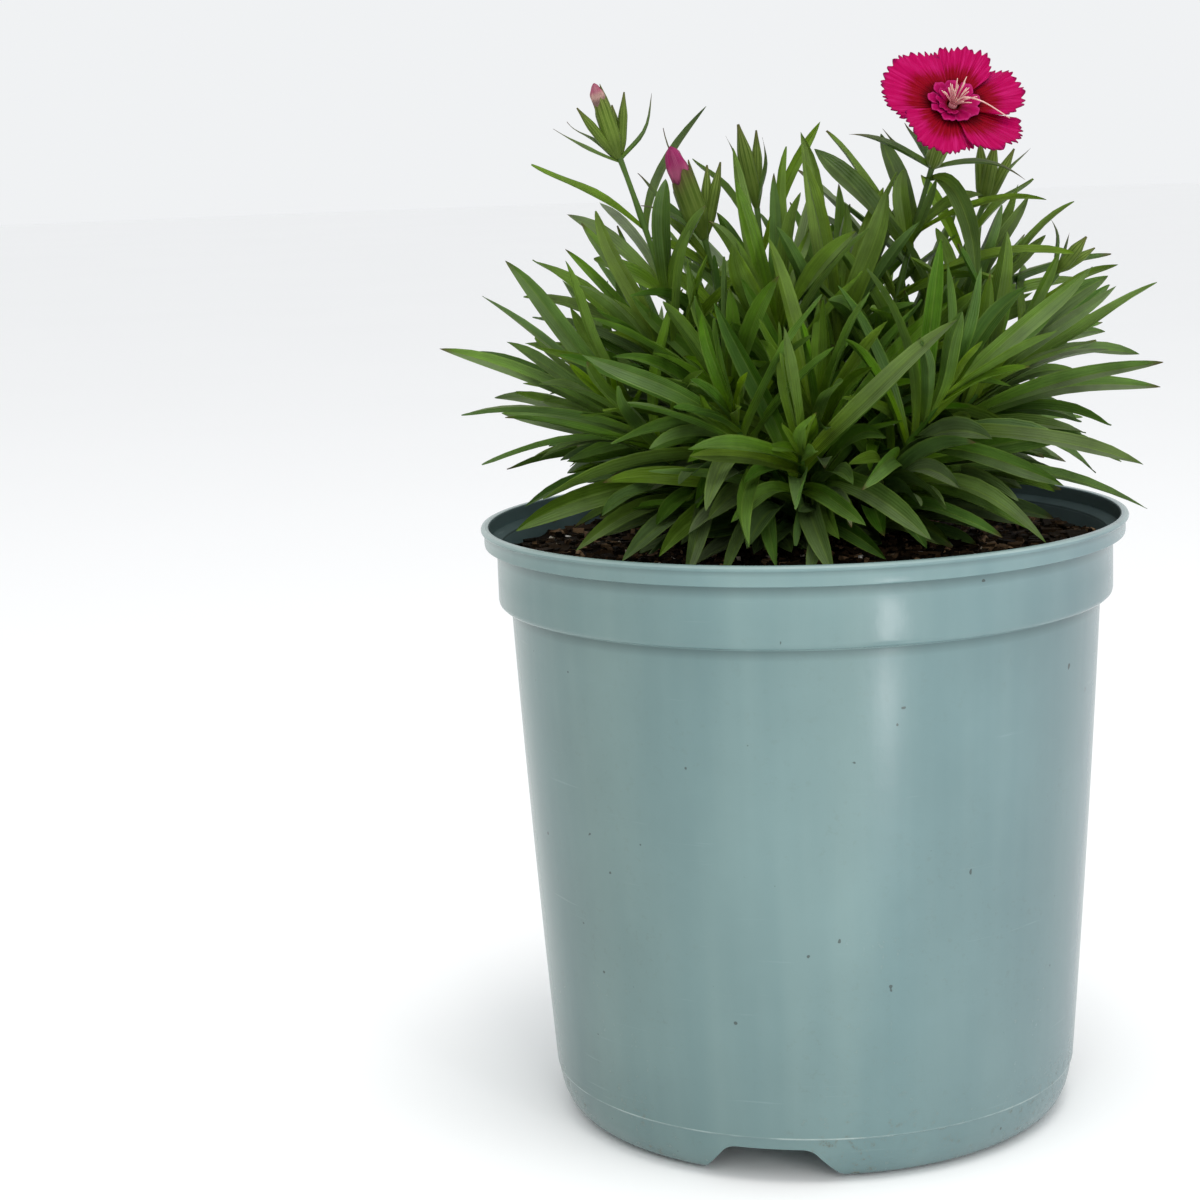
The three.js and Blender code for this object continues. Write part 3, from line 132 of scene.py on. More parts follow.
# Where each leafy stem ends, and its leaves that are placed one by one. A leaf row is (place along the
# stem from 0 to 1, tip x, tip y, tip z, height of its arch, width).
DRAWN_SHOOTS = {
    "shoot_left_front": ((-50, -29, 221), [
        (0.8, -107, -30, 244.6, 7, 5.8), (0.93, -87.7, -25, 268.5, 3, 7.2), (0.86, -91.4, -38, 260, 4, 4),
        (0.7, -87, -44, 222.7, 6, 3.8), (0.6, -78, -42, 210, 15, 4.2), (0.66, -78.6, -15, 227, 5, 7.4),
        (1, -70, -30, 268, 0, 4.6), (0.4, -85, -22, 195, 16, 5), (0.3, -74, -40, 192, 14, 6),
        (0.24, -66, -50, 185.5, 16, 6.4), (0.16, -52.5, -57, 184.5, 14, 7), (0.3, -41.5, -50, 193, 12, 7),
    ]),
    "shoot_far_left": ((-40, -17, 238), [
        (0.92, -79.9, -8, 268.2, 4, 6.4), (1, -59.5, -21, 283, 0, 7.4), (0.97, -64, -14, 279.5, 6, 5.2),
        (0.86, -71.6, 8, 269.6, 8, 3.6), (0.6, -67, -10, 206.8, 16, 4.6),
    ]),
    "shoot_left_mid": ((-21, -30, 228), [
        (0.66, -69, -54, 242, 8, 6.6), (0.52, -50.9, -64, 243, 18, 5.6), (0.97, -29, -44, 257, 0, 4.8),
        (1, -18.6, -40, 260, 0, 5), (0.72, -77, -46, 245, 6, 5.2), (0.36, -29.8, -70, 214, 12, 6.6),
        (0.28, -31, -62, 198.5, 16, 8.4), (0.18, -40, -66, 185, 18, 8.4), (0.1, -29.4, -68, 185, 16, 8.4),
    ]),
    "shoot_mid": ((-7, -13, 248), [
        (1, -1.7, -8, 300, 0, 5), (0.96, 1.6, -28, 287, 3, 6.8), (0.9, -16.5, -22, 290.5, 0, 7.4),
    ]),
    "shoot_front_mid": ((5, -37, 221), [
        (0.7, 18.9, -64, 238, 8, 5.4), (0.9, -17, -50, 263, 6, 5), (1, 9.6, -44, 256, 0, 5.4),
        (0.62, -12, -66, 246, 12, 6), (0.42, 24.4, -66, 219, 12, 6.6), (0.34, -14.8, -70, 207, 14, 6.8),
        (0.28, 13.7, -74, 208, 12, 8), (0.15, 8.7, -72, 184.5, 22, 10.5), (0.1, -22.9, -71.6, 184.5, 18, 7),
        (0.08, -14, -60, 186.5, 12, 6.4),
    ]),
    "shoot_top_mid": ((13, -5, 246), [
        (1, 2, -10, 303.7, 4, 7.8), (0.92, 28.1, -24, 286.5, 2, 8.2), (0.96, 26.8, 4, 287, 2, 6.4),
    ]),
    "shoot_right_front": ((43, -36, 227), [
        (0.72, 41.9, -44, 272, -3, 6.4), (1, 64.8, -50, 258.4, 4, 6.6), (0.5, 86.7, -42, 203.8, 25, 6.6),
        (0.4, 101.5, -36, 191.5, 14, 4.8), (0.62, 13.3, -66, 245, 14, 6), (0.36, 9, -80, 200.5, 18, 10),
        (0.3, 70.5, -66, 186, 18, 7.4), (0.16, 56.5, -60, 187.5, 14, 6.4), (0.12, 23.3, -62, 188, 14, 8),
        (0.1, 35.3, -62, 184.5, 14, 6.8),
    ]),
    "shoot_right_mid": ((58, -12, 229), [
        (0.98, 91.5, -18, 259.5, 6, 9), (0.9, 108.6, -10, 254, 4, 5.8), (0.82, 94.4, 0, 235.1, 8, 5),
        (0.76, 85.4, -10, 228.7, 8, 5.4), (0.66, 106.7, -25, 226.5, 11, 6.6), (0.6, 84, -34, 213, 10, 4.8),
    ]),
    "shoot_right_back": ((50, 7, 246), [
        (1, 69.9, 4, 283.3, 0, 5.4), (0.95, 83.9, -2, 280.1, 5, 4.4), (0.9, 76.3, 6, 270.8, 4, 5),
        (0.8, 72, -2, 192.4, 34, 6.4),
    ]),
}

# Flowering stems: leaf rows as above, and what each carries. A bud row is (foot x, y, z, tip x, y, z,
# radius); where its petals show, it goes on with how far up the green ends and the petals' name. A bract
# row is (foot x, y, z, tip x, y, z, arch, width).
FLOWERING_SHOOTS = {
    "stem_open_flower": {
        "top": FLOWER_FOOT, "open": True,
        "leaves": [(0.78, 12, -8, 303, 2, 5.2), (0.8, 75.8, -2, 281.2, 9, 3), (0.79, 58, 8, 283, 8, 5.6)],
        "buds": [],
        "bracts": [
            (42.4, 10.2, 291.4, 16.5, 0, 303.5, 4, 3), (42.4, 10.2, 291.4, 26.4, 8, 303.4, 1, 2.6),
            (42.4, 10.2, 291.4, 70.5, 6, 287.8, 7, 2.4), (42.4, 10.2, 291.4, 35.5, 12, 306, 0, 3.2),
            (42.4, 10.2, 291.4, 52, 14, 303, 0, 3.2),
        ],
    },
    "stem_bud_left": {
        "top": (-52.5, -12, 299),
        "leaves": [
            (0.8, -78.3, -14, 298.2, 3, 3.4), (0.62, -62, -4, 268, 4, 6), (0.5, -17, -30, 263, 2, 5.2),
            (0.79, -27, 7, 312, 3, 3.2),
        ],
        "buds": [
            (-52.5, -12, 298, -59.3, -12, 320.5, 2.9, 0.74, "bud_petals_left"),
            (-53, -12.4, 298, -64.4, -15, 313.4, 1.6), (-52, -11, 298, -50.6, -7, 317.7, 1.6),
            (-52, -11, 298, -54.5, -5.6, 314, 1.7),
        ],
        "bracts": [
            (-52.5, -12, 297, -71.3, -17, 308.3, -2, 1.8), (-52.5, -12, 297, -67.5, -8, 310.8, -2, 1.6),
            (-52.5, -12, 297, -40.5, -11, 316.1, -3, 1.8),
        ],
    },
    "stem_bud_pink": {
        "top": (-27.7, 0, 272.5),
        "leaves": [(0.9, -43.4, 8, 283, 6, 3.6), (0.7, -46, 12, 268, 4, 5.6)],
        "buds": [
            (-28, 0, 273, -37.4, -3.6, 301, 4.3, 0.58, "bud_petals_pink"),
            (-27.4, 1, 273, -26.6, 5, 295, 1.9), (-27.4, 1, 273, -22.4, 3, 295.8, 1.9),
        ],
        "bracts": [
            (-27.7, 0, 272, -38.5, 6, 307, 0, 2.6), (-27.7, 0, 272, -48.6, -5, 292, 2, 4.2),
            (-27.7, 0, 272, -46.8, -9, 284.8, 4, 2.2),
        ],
    },
    "stem_bud_mid": {
        "top": (-11.8, 18, 281),
        "leaves": [(0.88, -30.5, 12, 297.8, 4, 3.2), (0.86, 6.8, 20, 308, 3, 4)],
        "buds": [(-11.8, 18, 281, -17, 16, 307, 2.7), (-11.6, 18, 281, -11.5, 20.5, 305, 1.9)],
        "bracts": [(-11.8, 18, 280, -21, 15, 303.5, -1, 2), (-11.8, 18, 280, -8.5, 14, 303, -1, 2.2)],
    },
    "stem_bud_back": {
        "top": (58.6, 24, 279),
        "leaves": [(0.9, 73, 20, 288, 3, 4.2), (0.84, 40, 32, 290, 3, 4.6)],
        "buds": [
            (58.6, 24, 279, 62.5, 21, 299, 2.4), (58.6, 24, 279, 58, 25, 299.5, 2.2),
            (59, 24, 279, 68.5, 25, 296.5, 2),
        ],
        "bracts": [(58.6, 24, 278, 72, 28, 297.5, -2, 2.2), (58.6, 24, 278, 62, 33, 296, -1, 2.2)],
    },
    "stem_bud_right": {
        "top": (79.5, 4, 258.5),
        "leaves": [(0.9, 95.9, -1, 263, -2, 3), (0.8, 70, 24, 262, 4, 4.6)],
        "buds": [(79.6, 4, 259, 88.2, 2, 269.6, 2.2), (79.6, 4.4, 259, 91.4, 8.6, 265.8, 1.6)],
        "bracts": [(79.5, 4, 258, 78.3, 5.5, 275.8, 0, 1.8), (79.5, 4, 258, 83.3, 8, 270.4, -1, 2)],
    },
}

SPIRAL_COUNT = 38
SPIRAL_RADIUS = 63
SPIRAL_CLEARANCE = 18
GOLDEN_ANGLE = 137.508
DOME_TOP = 250
DOME_DROP = 38

# Pairs of leaves from the top of a leafy stem down: (place, length, width, angle from the stem, bend).
LEAFY_PAIRS = [
    (1, 44, 5.4, 12, 8),
    (0.88, 60, 6.8, 26, 20),
    (0.7, 70, 7.4, 36, 30),
    (0.5, 68, 7.8, 47, 42),
]
FLOWERING_PAIRS = [(0.62, 48, 6, 40, 22), (0.42, 56, 7.6, 54, 32)]
CROWDED_RADIUS = 34
CROWDED_PAIRS = 3
PAIR_TRIES = 36
DRAWN_TRIES = 60
# How far a shoot's pairs are turned from those of the shoot before it, in radians.
SHOOT_TURN = 2.4
# Rings of low leaves round the crown: (count, place on the stem, rise, length, width, bend).
SKIRT_ROWS = [
    (18, 0.1, 36, 50, 7.8, 52),
    (18, 0.24, 42, 58, 7.6, 60),
    (14, 0.38, 50, 54, 7.4, 66),
]
SKIRT_TRIES = 30
# How many millimetres farther in a shoot counts for each low leaf that it has, so that they spread out.
SKIRT_LOAD = 3
# How far a leaf may change from its row: (at the first try, more at the last one), and how much shorter it
# gets by then. Angles are in degrees; length and width change by a share.
PAIR_CHANGES = {"facing": (14, 70), "rise": (7, 24), "bend": (10, 34), "length": (0.14, 0.1),
                "width": (0.12, 0.1), "roll": (55, 20), "twist": (25, 25), "shrink": 0.35}
SKIRT_CHANGES = {"facing": (8, 30), "rise": (6, 20), "bend": (8, 20), "length": (0.12, 0.1),
                 "width": (0.12, 0.1), "roll": (25, 20), "twist": (20, 30), "shrink": 0.4,
                 "place": (0.03, 0.04)}
# First seeds of the random draws, and how far apart those of two shoots or two rings are.
DRAWN_SEED, SKIRT_SEED, LOW_SEED, INNER_SEED, TUFT_SEED, CORE_SEED = 9000, 21000, 31000, 40000, 50000, 60000
LOOK_SEED = 700
SEEDS_PER_SHOOT = 64
SEEDS_PER_ROW = 100

# Smaller leaves that only the finer plant has: more pairs, low leaves in the gaps, a core of old leaves
# round the crown and young tufts. They may lie against their neighbours.
TOUCHING = 0.06
EXTRA_TRIES = 20
EXTRA_PAIRS = [
    (0.94, 40, 4.6, 19, 14),
    (0.8, 52, 5.8, 30, 24),
    (0.62, 58, 6.6, 40, 32),
    (0.42, 56, 6.8, 46, 40),
    (0.32, 52, 6.8, 44, 42),
    (0.24, 46, 6.6, 42, 40),
]
CORE_PAIRS = [(0.2, 40, 7, 34, 30), (0.12, 34, 7, 44, 30), (0.05, 30, 6.6, 50, 24)]
EXTRA_SKIRTS = [
    (24, 0.05, 30, 46, 7.4, 46),
    (22, 0.16, 38, 52, 7.2, 56),
    (18, 0.3, 46, 54, 7, 60),
]
TUFT_PAIRS = [(1, 26, 3.6, 6, 4), (1, 23, 3.6, 11, 4), (1, 20, 3.6, 16, 4), (1, 17, 3.6, 21, 4)]
TUFT_TRIES = 6


def radians(degrees):
    return degrees * math.pi / 180


def circle(sides):
    """Angles of points evenly round a circle."""
    return np.arange(sides) / sides * FULL_TURN


def seeded_random(seed):
    """The same source of random numbers from 0 to 1 that placed the solids' leaves."""
    state = (seed * 7919 + 12345) % 2147483647

    def draw():
        nonlocal state
        state = state * 16807 % 2147483647
        return state / 2147483647

    return draw


def vec(*values):
    return np.array(values, dtype=float)


def dot(a, b):
    return a[0] * b[0] + a[1] * b[1] + a[2] * b[2]


def cross(a, b):
    return vec(a[1] * b[2] - a[2] * b[1], a[2] * b[0] - a[0] * b[2], a[0] * b[1] - a[1] * b[0])


def length_of(a):
    return math.sqrt(dot(a, a))


def unit(a):
    return a * (1 / (length_of(a) or 1))


def turned(vector, axis, angle):
    """vector turned by angle about a unit axis."""
    along = axis * dot(axis, vector)
    return along + (vector - along) * math.cos(angle) + cross(axis, vector) * math.sin(angle)


def side_axes(direction):
    helper = vec(0, 0, 1) if abs(direction[2]) < 0.9 else vec(0, 1, 0)
    first = unit(cross(helper, direction))
    return first, cross(direction, first)


def quadratic(curve, t):
    a, b, c = curve
    u = 1 - t
    return a * (u * u) + b * (2 * u * t) + c * (t * t)


def quadratic_slope(curve, t):
    a, b, c = curve
    return unit((b - a) * (1 - t) + (c - b) * t)


def soil_height(x, y):
    share = (x * x + y * y) / (SOIL_MOUND_RADIUS * SOIL_MOUND_RADIUS)
    return SOIL_LEVEL + SOIL_MOUND * np.maximum(0, 1 - share)


def stem_radius(place):
    return STEM_BASE_RADIUS + (STEM_TOP_RADIUS - STEM_BASE_RADIUS) * place


def spiral_shoots(drawn):
    shoots = []
    for i in range(SPIRAL_COUNT):
        radius = SPIRAL_RADIUS * math.sqrt((i + 0.5) / SPIRAL_COUNT)
        angle = radians(i * GOLDEN_ANGLE)
        x, y = radius * math.cos(angle), radius * math.sin(angle)
        if all(math.hypot(s["top"][0] - x, s["top"][1] - y) > SPIRAL_CLEARANCE for s in drawn):
            top = (x, y, DOME_TOP - DOME_DROP * (radius / SPIRAL_RADIUS) ** 2)
            shoots.append({"name": f"shoot_{len(shoots) + 1}", "top": top, "leaves": []})
    return shoots


def spread_feet(shoots):
    """Sets the stems' feet in a crown, and pushes those apart that stand too close."""
    for shoot in shoots:
        shoot["foot"] = vec(shoot["top"][0] * CROWN_SCALE, shoot["top"][1] * CROWN_SCALE, 0)
    for _ in range(CROWN_ROUNDS):
        for i, one in enumerate(shoots):
            for other in shoots[i + 1:]:
                apart = other["foot"] - one["foot"]
                push = (CROWN_SPACING - length_of(apart)) / 2
                if push > 0:
                    apart = unit(apart)
                    one["foot"] = one["foot"] + apart * -push
                    other["foot"] = other["foot"] + apart * push
    for shoot in shoots:
        shoot["foot"][2] = soil_height(shoot["foot"][0], shoot["foot"][1])


def stem_curve(shoot):
    top = vec(*shoot["top"])
    middle = shoot["foot"] + (top - shoot["foot"]) * STEM_MIDDLE_SPREAD
    middle[2] = shoot["foot"][2] + (top[2] - shoot["foot"][2]) * STEM_MIDDLE_HEIGHT
    return shoot["foot"], middle, top


def leaf_between(root, knee, tip, across, width, roll=0, twist=0, stations=LEAF_STATIONS):
    return {"curve": (root, knee, tip), "across": across, "roll": roll, "twist": twist, "width": width,
            "stations": stations}


def drawn_leaf(shoot, row):
    place, x, y, z, arch, width = row
    axis = quadratic_slope(shoot["curve"], place)
    tip = vec(x, y, z)
    centre = quadratic(shoot["curve"], place)
    chord = unit(tip - centre)
    outward = unit(chord + axis * -dot(chord, axis))
    root = centre + outward * (ROOT_OFFSET * stem_radius(place))
    knee = root + (tip - root) * 0.5
    knee[2] += arch
    up = axis + (vec(0, 0, 1) - axis) * FACE_UPRIGHT
    up[1] -= FACE_FORWARD
    return leaf_between(root, knee, tip, unit(cross(chord, up)), width)


def grown_leaf(shoot, place, outward, start, back, size):
    root = quadratic(shoot["curve"], place) + outward * (ROOT_OFFSET * stem_radius(place))
    end = start * math.cos(size["bend"]) + back * math.sin(size["bend"])
    knee = root + start * (size["length"] / 2)
    tip = knee + end * (size["length"] / 2)
    across = unit(cross(back, start))
    return leaf_between(root, knee, tip, across, size["width"], size["roll"], size["twist"])


def pair_leaf(shoot, place, azimuth, angle, size):
    axis = quadratic_slope(shoot["curve"], place)
    first, second = side_axes(axis)
    outward = first * math.cos(azimuth) + second * math.sin(azimuth)
    start = axis * math.cos(angle) + outward * math.sin(angle)
    back = outward * math.cos(angle) + axis * -math.sin(angle)
    return grown_leaf(shoot, place, outward, start, back, size)


def skirt_leaf(shoot, place, azimuth, rise, size):
    outward = vec(math.cos(azimuth), math.sin(azimuth), 0)
    up = vec(0, 0, 1)
    start = outward * math.cos(rise) + up * math.sin(rise)
    back = outward * math.sin(rise) + up * -math.cos(rise)
    return grown_leaf(shoot, place, outward, start, back, size)


def bract_leaf(row):
    x, y, z, tip_x, tip_y, tip_z, arch, width = row
    root, tip = vec(x, y, z), vec(tip_x, tip_y, tip_z)
    knee = root + (tip - root) * 0.5
    knee[2] += arch
    across = unit(cross(unit(tip - root), vec(0.1, 0.9, 0.4)))
    return leaf_between(root, knee, tip, across, width, stations=BRACT_STATIONS)


def leaf_axes(leaf, place):
    """Centre, width direction and upward face direction of a leaf at a place along it."""
    centre = quadratic(leaf["curve"], place)
    along = quadratic_slope(leaf["curve"], place)
    across = turned(leaf["across"], along, leaf["roll"] + leaf["twist"] * place)
    return centre, across, unit(cross(across, along))


def blade_sections(leaf):
    sections = []
    for place, share in leaf["stations"]:
        centre, across, face = leaf_axes(leaf, place)
        half = leaf["width"] * share / 2
        depth = LEAF_SUNK_DEPTH if place == 0 else LEAF_THICKNESS
        keel = centre + face * (-depth if share > 0 else 0)
        sections.append((place, centre + across * -half, centre + across * half, keel))
    return sections


def blade_samples(leaf):
    """Points about a millimetre apart over a blade, and how far along it each one lies."""
    points, places = [], []
    sections = blade_sections(leaf)
    for near, far in zip(sections, sections[1:]):
        rows = math.ceil(length_of(far[3] - near[3]))
        for row in range(rows):
            share = row / rows
            left = near[1] + (far[1] - near[1]) * share
            right = near[2] + (far[2] - near[2]) * share
            columns = max(1, math.ceil(length_of(right - left)))
            shares = np.arange(columns + 1)[:, None] / columns
            points.append(left + (right - left) * shares)
            points.append((near[3] + (far[3] - near[3]) * share)[None])
            places += [near[0] + (far[0] - near[0]) * share] * (columns + 2)
    points.append(sections[-1][3][None])
    places.append(1)
    return np.concatenate(points), np.array(places)


# The cells of space that the plant fills, and those next to them, each with the shoot that has it.
GRID_SHIFT = 300
GRID_LOW = np.array([120, 120, 360])
GRID_SIZE = np.array([260, 260, 190])
EMPTY, SHARED, FLOWER_OWNER = 127, -1, -2
filled = np.full(GRID_SIZE, EMPTY, np.int8)
near_filled = np.full(GRID_SIZE, EMPTY, np.int8)


def cells_of(points):
    cells = np.floor((points + GRID_SHIFT) / CELL).astype(int) - GRID_LOW
    return np.clip(cells, 1, GRID_SIZE - 2)


def take_cells(owner, points):
    x, y, z = np.unique(cells_of(points), axis=0).T
    filled[x, y, z] = owner
    for dx in (-1, 0, 1):
        for dy in (-1, 0, 1):
            for dz in (-1, 0, 1):
                known = near_filled[x + dx, y + dy, z + dz]
                free = (known == EMPTY) | (known == owner)
                near_filled[x + dx, y + dy, z + dz] = np.where(free, owner, SHARED)


def inside_bounds(points):
    x, y, z = points.T
    radius = np.hypot(x, y)
    reached = (np.abs(x) > REACH_X) | (np.abs(y) > REACH_Y) | (z > REACH_Z)
    over_wall = radius > COLLAR_RADIUS - WALL - SOIL_CLEARANCE
    floor = np.where(over_wall, POT_HEIGHT + LIP_CLEARANCE, soil_height(x, y) + SOIL_CLEARANCE)
    return ~reached & (z > floor)


def is_clear(owner, points, places, touching=0.0):
    """Whether a leaf is clear of the others. Up to a share of it may be next to them, for a small leaf."""
    x, y, z = cells_of(points).T
    free = places < FREE_SHARE
    if not (free | inside_bounds(points)).all():
        return False
    if touching:
        return bool(np.mean(~free & (filled[x, y, z] != EMPTY)) <= touching)
    known = near_filled[x, y, z]
    if ((known != EMPTY) & (known != owner)).any():
        return False
    return bool((free | (filled[x, y, z] != owner)).all())


def spindle_samples(points, radii):
    """Points about a millimetre apart in and over a round rod of changing thickness."""
    samples = []
    for i in range(len(points) - 1):
        along = points[i + 1] - points[i]
        rows = math.ceil(length_of(along))
        first, second = side_axes(unit(along))
        for row in range(rows + 1):
            centre = points[i] + along * (row / rows)
            radius = radii[i] + (radii[i + 1] - radii[i]) * (row / rows)
            angles = circle(max(6, math.ceil(radius * 6)))[:, None]
            samples.append(centre[None])
            samples.append(centre + first * (radius * np.cos(angles)) + second * (radius * np.sin(angles)))
    return np.concatenate(samples)


def stem_line(shoot):
    foot = shoot["foot"].copy()
    foot[2] -= STEM_DEPTH
    points = [foot] + [quadratic(shoot["curve"], t) for t in STEM_STATIONS]
    return points, [STEM_BASE_RADIUS] + [stem_radius(t) for t in STEM_STATIONS]


def flower_axes():
    centre = vec(*FLOWER_CENTRE)
    out = unit(centre - vec(*FLOWER_FOOT))
    right = unit(vec(1, 0, 0) + out * -out[0])
    return centre, right, cross(out, right), out


FLOWER_AXES = flower_axes()


def in_flower(x, y, z):
    """Points in the flower's own axes, single numbers or arrays, as points of the plant."""
    centre, right, up, out = FLOWER_AXES
    x, y, z = (np.asarray(value, float)[..., None] for value in (x, y, z))
    return centre + right * x + up * y + out * z


def petal_height(radius, turn):
    share = radius / PETAL_RADIUS
    return PETAL_CUP * share ** 1.5 - PETAL_PITCH * turn * share


def flower_samples():
    samples = []
    for radius in range(1, math.ceil(PETAL_RADIUS + 1)):
        angles = circle(math.ceil(FULL_TURN * radius))
        for turn in (-1, 0, 1):
            height = petal_height(radius, turn)
            samples.append(in_flower(radius * np.cos(angles), radius * np.sin(angles), height))
    return np.concatenate(samples)


def bud_line(bud, start, end):
    """Points and radii of a bud's outline between two places along it."""
    foot, tip, radius = vec(*bud[:3]), vec(*bud[3:6]), bud[6]
    inner = [place for place, _ in BUD_STATIONS if start < place < end]
    places = [start, *inner, end]
    shares = np.interp(places, *zip(*BUD_STATIONS))
    return [foot + (tip - foot) * place for place in places], [radius * share for share in shares]


def settle_leaf(owner, shoot, seed, tries, make_leaf, kind, touching=0.0):
    """Draws ever wider changes until a leaf is clear of the others, then takes its place."""
    random = seeded_random(seed)
    for attempt in range(tries):
        spread = attempt / tries

        def draw(near, far):
            return (random() - 0.5) * 2 * (near + far * spread)

        leaf = make_leaf(draw, spread)
        points, places = blade_samples(leaf)
        if is_clear(owner, points, places, touching):
            take_cells(owner, points)
            leaf["kind"] = kind
            shoot["blades"].append(leaf)
            return


def place_drawn_leaves(shoot, owner):
    for i, (place, x, y, z, arch, width) in enumerate(shoot["leaves"]):
        def make(draw, spread):
            depth = draw(3, 24) if spread > 0 else 0
            shift = spread * draw(0, 5)
            slide = spread * draw(0, 0.12)
            along = min(1, max(0.05, place + slide))
            return drawn_leaf(shoot, (along, x + shift, y + depth, z + spread * draw(0, 4), arch, width))

        seed = DRAWN_SEED + owner * SEEDS_PER_SHOOT + i
        settle_leaf(owner, shoot, seed, DRAWN_TRIES, make, "drawn")


def changed_size(draw, changes, shrink, length, width, bend):
    """A leaf's size, with the changes that a kind of leaf is drawn with."""
    return {
        "bend": radians(bend + draw(*changes["bend"])),
        "length": length * (1 + draw(*changes["length"])) * shrink,
        "width": width * (1 + draw(*changes["width"])),
        "roll": radians(draw(*changes["roll"])),
        "twist": radians(draw(*changes["twist"])),
    }


def place_pair(shoot, owner, level, row, tries=PAIR_TRIES, first_seed=0, kind="pair", touching=0.0):
    place, length, width, angle, bend = row
    for side in range(2):
        azimuth = owner * SHOOT_TURN + level * (math.pi / 2) + side * math.pi

        def make(draw, spread):
            facing = azimuth + radians(draw(*PAIR_CHANGES["facing"]))
            shrink = 1 - PAIR_CHANGES["shrink"] * spread
            size = changed_size(draw, PAIR_CHANGES, shrink, length, width, bend)
            return pair_leaf(shoot, place, facing, radians(angle + draw(*PAIR_CHANGES["rise"])), size)

        seed = first_seed + owner * SEEDS_PER_SHOOT + level * 2 + side + 1
        settle_leaf(owner, shoot, seed, tries, make, kind, touching)


def place_skirt(shoots, row, first_seed, turn, kind="skirt", touching=0.0):
    """A ring of low leaves, each on the stem that stands farthest out on its side and has few of them."""
    count, place, rise, length, width, bend = row
    for i in range(count):
        azimuth = (i + turn) / count * FULL_TURN
        cosine, sine = math.cos(azimuth), math.sin(azimuth)
        reaches = [s["foot"][0] * cosine + s["foot"][1] * sine - SKIRT_LOAD * s["skirt"] for s in shoots]
        owner = reaches.index(max(reaches))
        shoot = shoots[owner]
        shoot["skirt"] += 1

        def make(draw, spread):
            shrink = 1 - SKIRT_CHANGES["shrink"] * spread
            size = changed_size(draw, SKIRT_CHANGES, shrink, length, width, bend)
            facing = azimuth + radians(draw(*SKIRT_CHANGES["facing"]))
            moved = place + draw(*SKIRT_CHANGES["place"])
            return skirt_leaf(shoot, moved, facing, radians(rise + draw(*SKIRT_CHANGES["rise"])), size)

        settle_leaf(owner, shoot, first_seed + i, SKIRT_TRIES, make, kind, touching)


def lay_out_plant():
    drawn = [{"name": name, "top": top, "leaves": rows} for name, (top, rows) in DRAWN_SHOOTS.items()]
    drawn += [{"name": name, **parts} for name, parts in FLOWERING_SHOOTS.items()]
    shoots = drawn + spiral_shoots(drawn)
    spread_feet(shoots)
    for owner, shoot in enumerate(shoots):
        shoot.update(curve=stem_curve(shoot), blades=[], skirt=0)
        take_cells(owner, spindle_samples(*stem_line(shoot)))
        for bud in shoot.get("buds", []):
            take_cells(owner, spindle_samples(*bud_line(bud, 0, 1)))
        for row in shoot.get("bracts", []):
            take_cells(owner, blade_samples(bract_leaf(row))[0])
    take_cells(FLOWER_OWNER, flower_samples())
    for owner, shoot in enumerate(shoots):
        place_drawn_leaves(shoot, owner)
    for i, row in enumerate(SKIRT_ROWS):
        place_skirt(shoots, row, SKIRT_SEED + i * SEEDS_PER_ROW, i * 0.5)
    for level in range(len(LEAFY_PAIRS)):
        for owner, shoot in enumerate(shoots):
            pairs = FLOWERING_PAIRS if "buds" in shoot else LEAFY_PAIRS
            crowded = math.hypot(shoot["top"][0], shoot["top"][1]) < CROWDED_RADIUS
            if level < len(pairs) and not (crowded and level >= CROWDED_PAIRS):
                place_pair(shoot, owner, level, pairs[level])
    return shoots


def add_extra_leaves(shoots):
    """Fills the gaps with smaller leaves, once the solids' own leaves are all in place."""
    for i, row in enumerate(EXTRA_SKIRTS):
        place_skirt(shoots, row, LOW_SEED + i * SEEDS_PER_ROW, i * 0.37 + 0.2, "low", TOUCHING)
    for kind, rows, seed in (("inner", EXTRA_PAIRS, INNER_SEED), ("core", CORE_PAIRS, CORE_SEED)):
        for level, row in enumerate(rows):
            for owner, shoot in enumerate(shoots):
                if kind == "core" or "buds" not in shoot or level > 1:
                    place_pair(shoot, owner, level, row, EXTRA_TRIES, seed, kind, TOUCHING)
    for owner, shoot in enumerate(shoots):
        for level, row in enumerate([] if "buds" in shoot else TUFT_PAIRS, len(LEAFY_PAIRS)):
            place_pair(shoot, owner, level, row, TUFT_TRIES, TUFT_SEED, "young", TOUCHING)


shoots = lay_out_plant()
add_extra_leaves(shoots)

# ---------------------------------------------------------------- meshes


